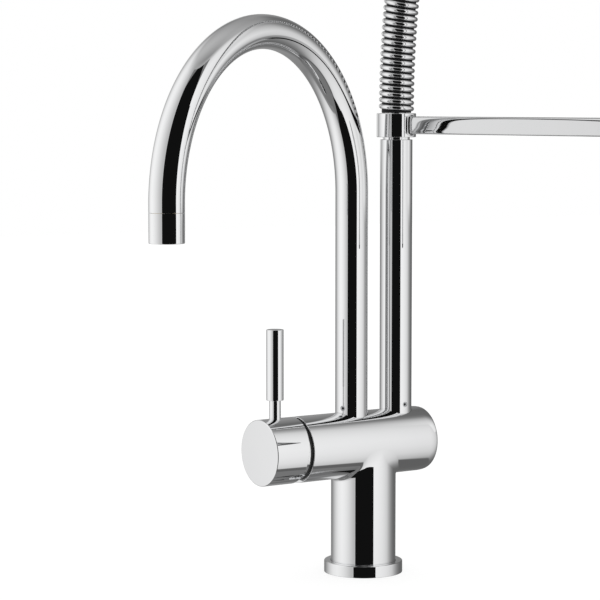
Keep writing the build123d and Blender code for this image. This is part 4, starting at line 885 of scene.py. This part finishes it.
collar = [
    (COLLAR_BORE, COLLAR_FOOT),
    (COLLAR_RADIUS, COLLAR_FOOT, COLLAR_EDGE),
    (COLLAR_RADIUS, COLLAR_TOP, COLLAR_EDGE),
    (COLLAR_NECK, COLLAR_TOP),
    (COLLAR_NECK, COLLAR_SHOULDER),
    (COLLAR_BORE, COLLAR_SHOULDER),
]
turned("collar_ring", collar, RISER_AXIS, UP, CHROME, 0.1 * MM, node="arm_collar", slot="chrome")


def bar_section():
    """The bar's section as (side, rise) places and normals: slightly crowned faces, soft edges."""
    reach = BAR_HALF_HEIGHT - BAR_EDGE
    places = []
    drop = 0.0
    stops = 16
    for k in range(stops + 1):
        lean = BAR_CROWN * (k / stops) ** 3
        place = Vector((BAR_HALF_THICKNESS + drop, reach * k / stops))
        places.append((place, Vector((math.cos(lean), math.sin(lean)))))
        drop -= math.tan(BAR_CROWN * ((k + 0.5) / stops) ** 3) * reach / stops
    last, start = places[-1]
    width = last.x / (start.x * BAR_EDGE)
    for lean in span_stops(BAR_CROWN, math.pi / 2, 10)[1:]:
        normal = Vector((math.cos(lean), math.sin(lean)))
        swing = (normal - start) * BAR_EDGE
        place = Vector((last.x + swing.x * width * BAR_EDGE_FLATTENING, last.y + swing.y))
        places.append((place, normal))
    top = [(Vector((-p.x, p.y)), Vector((-n.x, n.y))) for p, n in reversed(places)]
    upper = places + top
    lower = [(Vector((p.x, -p.y)), Vector((n.x, -n.y))) for p, n in reversed(upper)]
    return upper + lower


def flat_arm():
    """The flat bar, which flares into the collar at its root."""
    stations = [(BAR_START, FLARE, math.pi / 2)]
    steps = 12
    for step in range(steps + 1):
        swing = math.pi / 2 * (1 - step / steps)
        stations.append((FLARE_START - FLARE * math.sin(swing), FLARE * (1 - math.cos(swing)), swing))
    stations.append((BAR_END, 0.0, 0.0))
    section = bar_section()
    grid = []
    for out, growth, swing in stations:
        row = []
        for place, normal in section:
            side = place.x + normal.x * growth
            rise = place.y + normal.y * min(growth, FLARE_RISE)
            point = RISER_AXIS + ARM_OUT * out + ARM_SIDE * side + UP * (BAR_MIDDLE + rise)
            flat = ARM_SIDE * normal.x + UP * normal.y
            row.append((point, flat * math.cos(swing) + ARM_OUT * math.sin(swing)))
        grid.append(row)
    skin = Skin()
    skin.grid(grid, wrap=True)
    # The bar wears the darker copy of the chrome, which is painted shade.
    return skin.piece("flat_arm", SHADED_ARM_CHROME, node="arm_bar", slot="chrome")


flat_arm()


# ---------------------------------------------------------------- spring and hose

SPRING_RADIUS = 13.05 * MM
WIRE_RADIUS = 1.8 * MM
WINDING_PITCH = 4.8 * MM
CLOSED_PITCH = 2 * WIRE_RADIUS * 1.01
CLOSED_TURNS = 0.75
WINDING_START = math.radians(166)
HOSE_RADIUS = 7.5 * MM
HOSE_BORE = 4.5 * MM
HOSE_START = 10.4 * MM
HOSE_END = 352.0 * MM
# The black sleeve inside the spring is painted shade for the gaps between its turns.
SHADE_SLEEVE_RADIUS = 10.9 * MM
SHADE_SLEEVE_START = 0.3 * MM
SLEEVE_EDGE = 0.3 * MM
COIL_WIRE = 0.45 * MM

# Bends of the spring's centreline: radius, and its turn from upright at each end, in degrees
BENDS = (
    (0.700, 0, 7),
    (0.200, 7, 37),
    (0.0911, 37, 90),
    (0.0911, 90, 143),
    (0.200, 143, 173),
    (0.500, 173, 180),
)


def along_bends(distance):
    """Point and turn from upright on the spring's centreline, the point as (out, height)."""
    out, height = 0.0, COLLAR_TOP
    for radius, first, last in BENDS:
        start, end = math.radians(first), math.radians(last)
        length = radius * (end - start)
        turn_angle = start + min(distance, length) / radius
        out += radius * (math.cos(start) - math.cos(turn_angle))
        height += radius * (math.sin(turn_angle) - math.sin(start))
        if distance <= length:
            return (out, height), turn_angle
        distance -= length
    return (out, height - distance), math.pi


SPRING_LENGTH = sum(r * math.radians(last - first) for r, first, last in BENDS)


def frame_at(distance):
    """Point, forward direction and inward direction on the spring's centreline."""
    (out, height), bend = along_bends(distance)
    forward = ARM_OUT * math.sin(bend) + UP * math.cos(bend)
    inward = ARM_OUT * math.cos(bend) - UP * math.sin(bend)
    return RISER_AXIS + ARM_OUT * out + UP * height, forward, inward


def wire_ring(centre, spoke, forward, radius, around):
    """One ring of (point, normal) pairs round a wire."""
    ring = []
    for k in range(around):
        angle = TAU * k / around
        normal = spoke * math.cos(angle) + forward * math.sin(angle)
        ring.append((centre + normal * radius, normal))
    return ring


def wire_skin(rings):
    """A wire's skin over its rings, with flat ends."""
    skin = Skin()
    skin.grid(rings, wrap=True)
    for ring, sign in ((rings[0], -1), (rings[-1], 1)):
        middle = sum((point for point, _ in ring), Vector()) / len(ring)
        cap = ring[0][1].cross(ring[1][1]).normalized() * sign
        skin.grid([[(point, cap) for point, _ in ring], [(middle, cap)] * len(ring)], wrap=True)
    return skin


def wind_spring():
    """The round wire wound left-handed about the bent centreline, with closed end turns."""
    steps_per_turn = 40
    usable = SPRING_LENGTH - 2 * WIRE_RADIUS
    rings = []
    travelled = 0.0
    angle = WINDING_START
    while travelled < usable:
        turns_done = (angle - WINDING_START) / TAU
        turns_left = (usable - travelled) / CLOSED_PITCH
        pitch = CLOSED_PITCH if min(turns_done, turns_left) < CLOSED_TURNS else WINDING_PITCH
        middle, forward, inward = frame_at(travelled + WIRE_RADIUS)
        spoke = inward * math.cos(angle) + ARM_SIDE * math.sin(angle)
        centre = middle + spoke * (SPRING_RADIUS - WIRE_RADIUS)
        rings.append(wire_ring(centre, spoke, forward, WIRE_RADIUS, 16))
        travelled += pitch / steps_per_turn
        angle += TAU / steps_per_turn
    skin = wire_skin(rings)
    return skin.piece("wound_spring", SPRING_WIRE, "support_spring", "spring_steel", rides=False)


def centre_path(first, last):
    """(point, tangent) pairs along the spring's centreline."""
    return [frame_at(distance)[:2] for distance in span_stops(first, last, 150)]


def sleeve(name, path, radius, bore, segments):
    """A flexible sleeve along a path of (point, tangent) pairs, with ring-shaped ends."""
    skin = Skin()
    skin.grid(tube_rings(path, ARM_SIDE, radius, segments), wrap=True)
    for sign, (point, tangent) in ((-1, path[0]), (1, path[-1])):
        end_ring(skin, point, tangent * sign, ARM_SIDE, radius, bore, SLEEVE_EDGE)
    return skin.piece(name, HOSE, "spray_hose", "hose_rubber", rides=False)


def lay_hose():
    """The hose inside the spring, from its tail's crimp down into the spray."""
    path = centre_path(HOSE_START, SPRING_LENGTH)
    path.append((level(path[-1][0], HOSE_END), -UP))
    return sleeve("hose", path, HOSE_RADIUS, HOSE_BORE, 48)


def shade_spring_gaps():
    """Painted shade: a black sleeve between the spring and its hose, put where the gaps between the turns
    fall into shade.
    """
    path = centre_path(SHADE_SLEEVE_START, SPRING_LENGTH - MM)
    return sleeve("spring_gap_shade", path, SHADE_SLEEVE_RADIUS, HOSE_RADIUS + MM, 64)


spring = wind_spring()
hose = lay_hose()
gap_shade_sleeve = shade_spring_gaps()
for bent in (spring, hose, gap_shade_sleeve):
    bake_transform(bent)


def return_spring(name, node, origin, axis, coil_radius, pitch, start, end):
    """A small straight spring between two bodies, from start to end on its axis."""
    side, other = perpendicular(axis)
    steps_per_turn = 32
    steps = round((end - start) / pitch * steps_per_turn)
    rings = []
    for step in range(steps + 1):
        angle = TAU * step / steps_per_turn
        spoke = side * math.cos(angle) + other * math.sin(angle)
        centre = origin + axis * (start + (end - start) * step / steps) + spoke * coil_radius
        rings.append(wire_ring(centre, spoke, axis, COIL_WIRE, 10))
    coil = wire_skin(rings).piece(name, STEEL, node, "steel", rides=False)
    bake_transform(coil)


return_spring(
    "diverter_coil", "diverter_spring", BARREL_CENTRE, ALONG,
    coil_radius=5.2 * MM, pitch=2.1 * MM, start=6.55 * MM, end=17.45 * MM,
)
STEM_CENTRE = level(SPRAY_AXIS, middle_of("valve_stem").z)
return_spring(
    "valve_coil", "valve_spring", STEM_CENTRE, ARM_OUT,
    coil_radius=3.4 * MM, pitch=1.7 * MM, start=-9.45 * MM, end=-1.55 * MM,
)


# ---------------------------------------------------------------- studio

CAMERA_TURN = 0.6011
CAMERA_PITCH = 0.0838
RIGHT = Vector((math.cos(CAMERA_TURN), -math.sin(CAMERA_TURN), 0))
AWAY = Vector((math.sin(CAMERA_TURN), math.cos(CAMERA_TURN), 0))
CAMERA_PLACE = (-0.047205, -1.77416, 0.35214)
CAMERA_LENS = 144.2
SENSOR_WIDTH = 36.0
DOME_RADIUS = 0.6
DOME_CENTRE = 0.2
DOME_POLE = 89.9
WINDOW_LEFT = -29.5
WINDOW_RIGHT = 31.0
WINDOW_LOW = -60
WINDOW_HIGH = 62
CARD_LEFT = (-0.394, -0.696)
CARD_RIGHT = (0.268, -0.393)
CARD_LOW = -0.6
CARD_HIGH = 1.5
CARD_BRIGHTNESS = 0.006
FLOOR_HALF = 4.0
OPEN_BRIGHTNESS = 0.2


def studio_point(right, away, height):
    """A place given from the column's axis, as the camera sees it."""
    return RIGHT * right + AWAY * away + UP * height


def stage_mesh(name, verts, faces, material):
    mesh = bpy.data.meshes.new(name)
    mesh.from_pydata([tuple(v) for v in verts], [], faces)
    piece = bpy.data.objects.new(name, mesh)
    bpy.context.scene.collection.objects.link(piece)
    mesh.materials.append(material)
    return piece


def seen_in_reflections_only(piece):
    piece.visible_camera = False
    piece.visible_shadow = False
    piece.visible_diffuse = False


def math_node(nodes, links, operation, first, second=None):
    node = nodes.new("ShaderNodeMath")
    node.operation = operation
    for socket, value in zip(node.inputs, (first, second)):
        if isinstance(value, (int, float)):
            socket.default_value = value
        elif value is not None:
            links.new(value, socket)
    return node.outputs["Value"]


def grey_ramp(nodes, links, factor, reach, stops):
    """Brightness by a factor that runs from -reach to reach, from (factor, brightness) stops."""
    scale = nodes.new("ShaderNodeMapRange")
    scale.inputs["From Min"].default_value = -reach
    scale.inputs["From Max"].default_value = reach
    links.new(factor, scale.inputs["Value"])
    greys = [((place + reach) / (2 * reach), (grey, grey, grey)) for place, grey in stops]
    return ramp(nodes, links, scale.outputs["Result"], greys)


def light_material(name):
    """A plain light: its material, nodes, links and emission shader."""
    material = bpy.data.materials.new(name)
    material.use_nodes = True
    nodes = material.node_tree.nodes
    links = material.node_tree.links
    nodes.clear()
    output = nodes.new("ShaderNodeOutputMaterial")
    light = nodes.new("ShaderNodeEmission")
    links.new(light.outputs["Emission"], output.inputs["Surface"])
    return material, nodes, links, light


# Light on the dome, as (place, brightness) stops. Azimuths are in degrees from the camera's side,
# positive to its right, and rises in degrees above the dome's centre. Rights and aways are metres
# from its axis, as the camera sees them.
WALLS = [
    (-180, 0.31), (-150, 0.24), (-140, 0.34), (-130, 0.5), (-120, 0.68), (-110, 0.84),
    (-98, 0.98), (-82, 1.05), (-70, 1.0), (-60, 0.92), (-50, 0.8), (-34, 0.56),
    (34, 1.03), (50, 1.01), (60, 0.97), (70, 0.92), (80, 0.84), (90, 0.73),
    (100, 0.51), (110, 0.33), (120, 0.22), (132, 0.15), (160, 0.14), (180, 0.28),
]
WALLS_BY_RISE = [
    (-54, 0.0), (-52, 0.7), (-40, 0.86), (-22, 0.95), (0, 1.0), (20, 1.0), (50, 0.93),
    (58, 0.78), (66, 0.0),
]
CEILING = [(-0.4, 0.56), (-0.1, 0.51), (0.03, 0.46), (0.1, 0.43), (0.3, 0.46), (0.5, 0.36)]
CEILING_BY_AWAY = [
    (-0.3, 0.4), (-0.2, 0.82), (-0.14, 0.98), (-0.07, 1.02), (-0.01, 0.97), (0.05, 0.88), (0.2, 0.68),
]
BELOW = [(-0.2, 0.26), (0.1, 0.13)]
BACK = [(-172, 0.0), (-162, 0.75), (-145, 0.75), (-130, 0.0)]
BACK_BY_RISE = [(3, 0.0), (10, 1.0), (38, 1.0), (45, 0.0)]
SHINE = [
    (80, 0.0), (88, 0.92), (96, 0.92), (102, 0.82), (108, 0.7), (114, 0.5), (120, 0.35),
    (128, 0.2), (134, 0.0),
]
SHINE_BY_RISE = [(-1, 0.0), (5, 0.95), (10, 1.0), (24, 1.0), (50, 0.6), (58, 0.0)]


def either(nodes, links, factor, at_zero, at_one):
    node = nodes.new("ShaderNodeMix")
    for socket, value in (("Factor", factor), ("A", at_zero), ("B", at_one)):
        links.new(value, node.inputs[socket])
    return node.outputs["Result"]


def dome_light():
    """Two soft walls at the sides, dimmer light overhead, behind and below, and a bright patch
    on the right for the spout's crest."""
    material, nodes, links, light = light_material("dome_light")

    def maths(operation, first, second=None):
        return math_node(nodes, links, operation, first, second)

    def by(factor, reach, stops):
        return grey_ramp(nodes, links, factor, reach, stops)

    split = nodes.new("ShaderNodeSeparateXYZ")
    links.new(nodes.new("ShaderNodeTexCoord").outputs["Object"], split.inputs["Vector"])
    right, away, height = split.outputs
    azimuth = maths("DEGREES", maths("ARCTAN2", right, maths("MULTIPLY", away, -1.0)))
    rise = maths("DEGREES", maths("ARCSINE", maths("DIVIDE", height, DOME_RADIUS)))
    ceiling = by(right, DOME_RADIUS, CEILING), by(away, DOME_RADIUS, CEILING_BY_AWAY)
    overhead = maths("MULTIPLY", *ceiling)
    above = maths("GREATER_THAN", rise, 0.0)
    elsewhere = either(nodes, links, above, by(right, DOME_RADIUS, BELOW), overhead)
    strength = either(nodes, links, by(rise, 90, WALLS_BY_RISE), elsewhere, by(azimuth, 180, WALLS))
    for sides, heights in ((BACK, BACK_BY_RISE), (SHINE, SHINE_BY_RISE)):
        patch = maths("MULTIPLY", by(azimuth, 180, sides), by(rise, 90, heights))
        strength = maths("MAXIMUM", strength, patch)
    links.new(strength, light.inputs["Strength"])
    return material


def studio_dome():
    """The dome round the object, with a window on the camera's side."""
    material = dome_light()
    side_steps, rise_steps = 72, 30

    def on_dome(azimuth, rise):
        azimuth, rise = math.radians(azimuth), math.radians(rise)
        flat = DOME_RADIUS * math.cos(rise)
        return Vector((flat * math.sin(azimuth), -flat * math.cos(azimuth), DOME_RADIUS * math.sin(rise)))

    for name, first, last, low, high in (
        ("dome_walls", WINDOW_RIGHT, 360 + WINDOW_LEFT, WINDOW_LOW, WINDOW_HIGH),
        ("dome_top", 0, 360, WINDOW_HIGH, DOME_POLE),
    ):
        verts, faces = [], []
        for azimuth in span_stops(first, last, side_steps):
            for rise in span_stops(low, high, rise_steps):
                verts.append(on_dome(azimuth, rise))
        for k in range(side_steps):
            for j in range(rise_steps):
                corner = k * (rise_steps + 1) + j
                faces.append((corner, corner + 1, corner + rise_steps + 2, corner + rise_steps + 1))
        shell = stage_mesh(name, verts, faces, material)
        shell.location = UP * DOME_CENTRE
        shell.rotation_euler = (0, 0, -CAMERA_TURN)
        seen_in_reflections_only(shell)


def black_card():
    """The dark card on the camera's side that gives chrome its black bands."""
    corners = [
        studio_point(*CARD_LEFT, CARD_LOW),
        studio_point(*CARD_RIGHT, CARD_LOW),
        studio_point(*CARD_RIGHT, CARD_HIGH),
        studio_point(*CARD_LEFT, CARD_HIGH),
    ]
    material, _, _, light = light_material("black_card")
    light.inputs["Strength"].default_value = CARD_BRIGHTNESS
    card = stage_mesh("black_front_card", corners, [(0, 1, 2, 3)], material)
    seen_in_reflections_only(card)


studio_dome()
black_card()


def white_floor():
    """A floor that shows as white, with the faintest shadow, and not in reflections."""
    material, nodes, links, shader, coordinates = new_material("floor_white")
    speckle = noise(nodes, links, coordinates.outputs["Object"], scale=30.0, detail=3.0)
    tone = [(NOISE_LOW, (0.29, 0.29, 0.29)), (NOISE_HIGH, (0.3, 0.3, 0.3))]
    links.new(ramp(nodes, links, speckle, tone), shader.inputs["Base Color"])
    shader.inputs["Roughness"].default_value = 0.8
    shader.inputs["Specular IOR Level"].default_value = 0.0
    shader.inputs["Emission Color"].default_value = (1, 1, 1, 1)
    shader.inputs["Emission Strength"].default_value = 0.76
    corners = [Vector((x, y, 0)) * FLOOR_HALF for x, y in ((-1, -1), (1, -1), (1, 1), (-1, 1))]
    floor = stage_mesh("floor", corners, [(0, 1, 2, 3)], material)
    floor.visible_glossy = False


white_floor()


def backdrop_world():
    """White behind the object and on the floor, and dim in whatever the dome leaves open."""
    world = bpy.data.worlds.new("studio")
    world.use_nodes = True
    bpy.context.scene.world = world
    nodes = world.node_tree.nodes
    links = world.node_tree.links
    nodes.clear()
    output = nodes.new("ShaderNodeOutputWorld")
    ray = nodes.new("ShaderNodeLightPath")
    mix = nodes.new("ShaderNodeMixShader")
    links.new(ray.outputs["Is Glossy Ray"], mix.inputs["Fac"])
    for socket, grey in ((1, 1.0), (2, OPEN_BRIGHTNESS)):
        sky = nodes.new("ShaderNodeBackground")
        sky.inputs["Color"].default_value = (grey, grey, grey, 1)
        sky.inputs["Strength"].default_value = 1.0
        links.new(sky.outputs["Background"], mix.inputs[socket])
    links.new(mix.outputs["Shader"], output.inputs["Surface"])


backdrop_world()


def place_camera():
    camera_data = bpy.data.cameras.new("camera")
    camera = bpy.data.objects.new("camera", camera_data)
    bpy.context.scene.collection.objects.link(camera)
    camera_data.sensor_width = SENSOR_WIDTH
    camera_data.lens = CAMERA_LENS
    camera_data.clip_end = 50.0
    camera.location = studio_point(*CAMERA_PLACE)
    camera.rotation_euler = (math.pi / 2 - CAMERA_PITCH, 0, -CAMERA_TURN)
    bpy.context.scene.camera = camera


place_camera()
bpy.context.scene.view_settings.view_transform = "Standard"
bpy.context.scene.view_settings.look = "None"
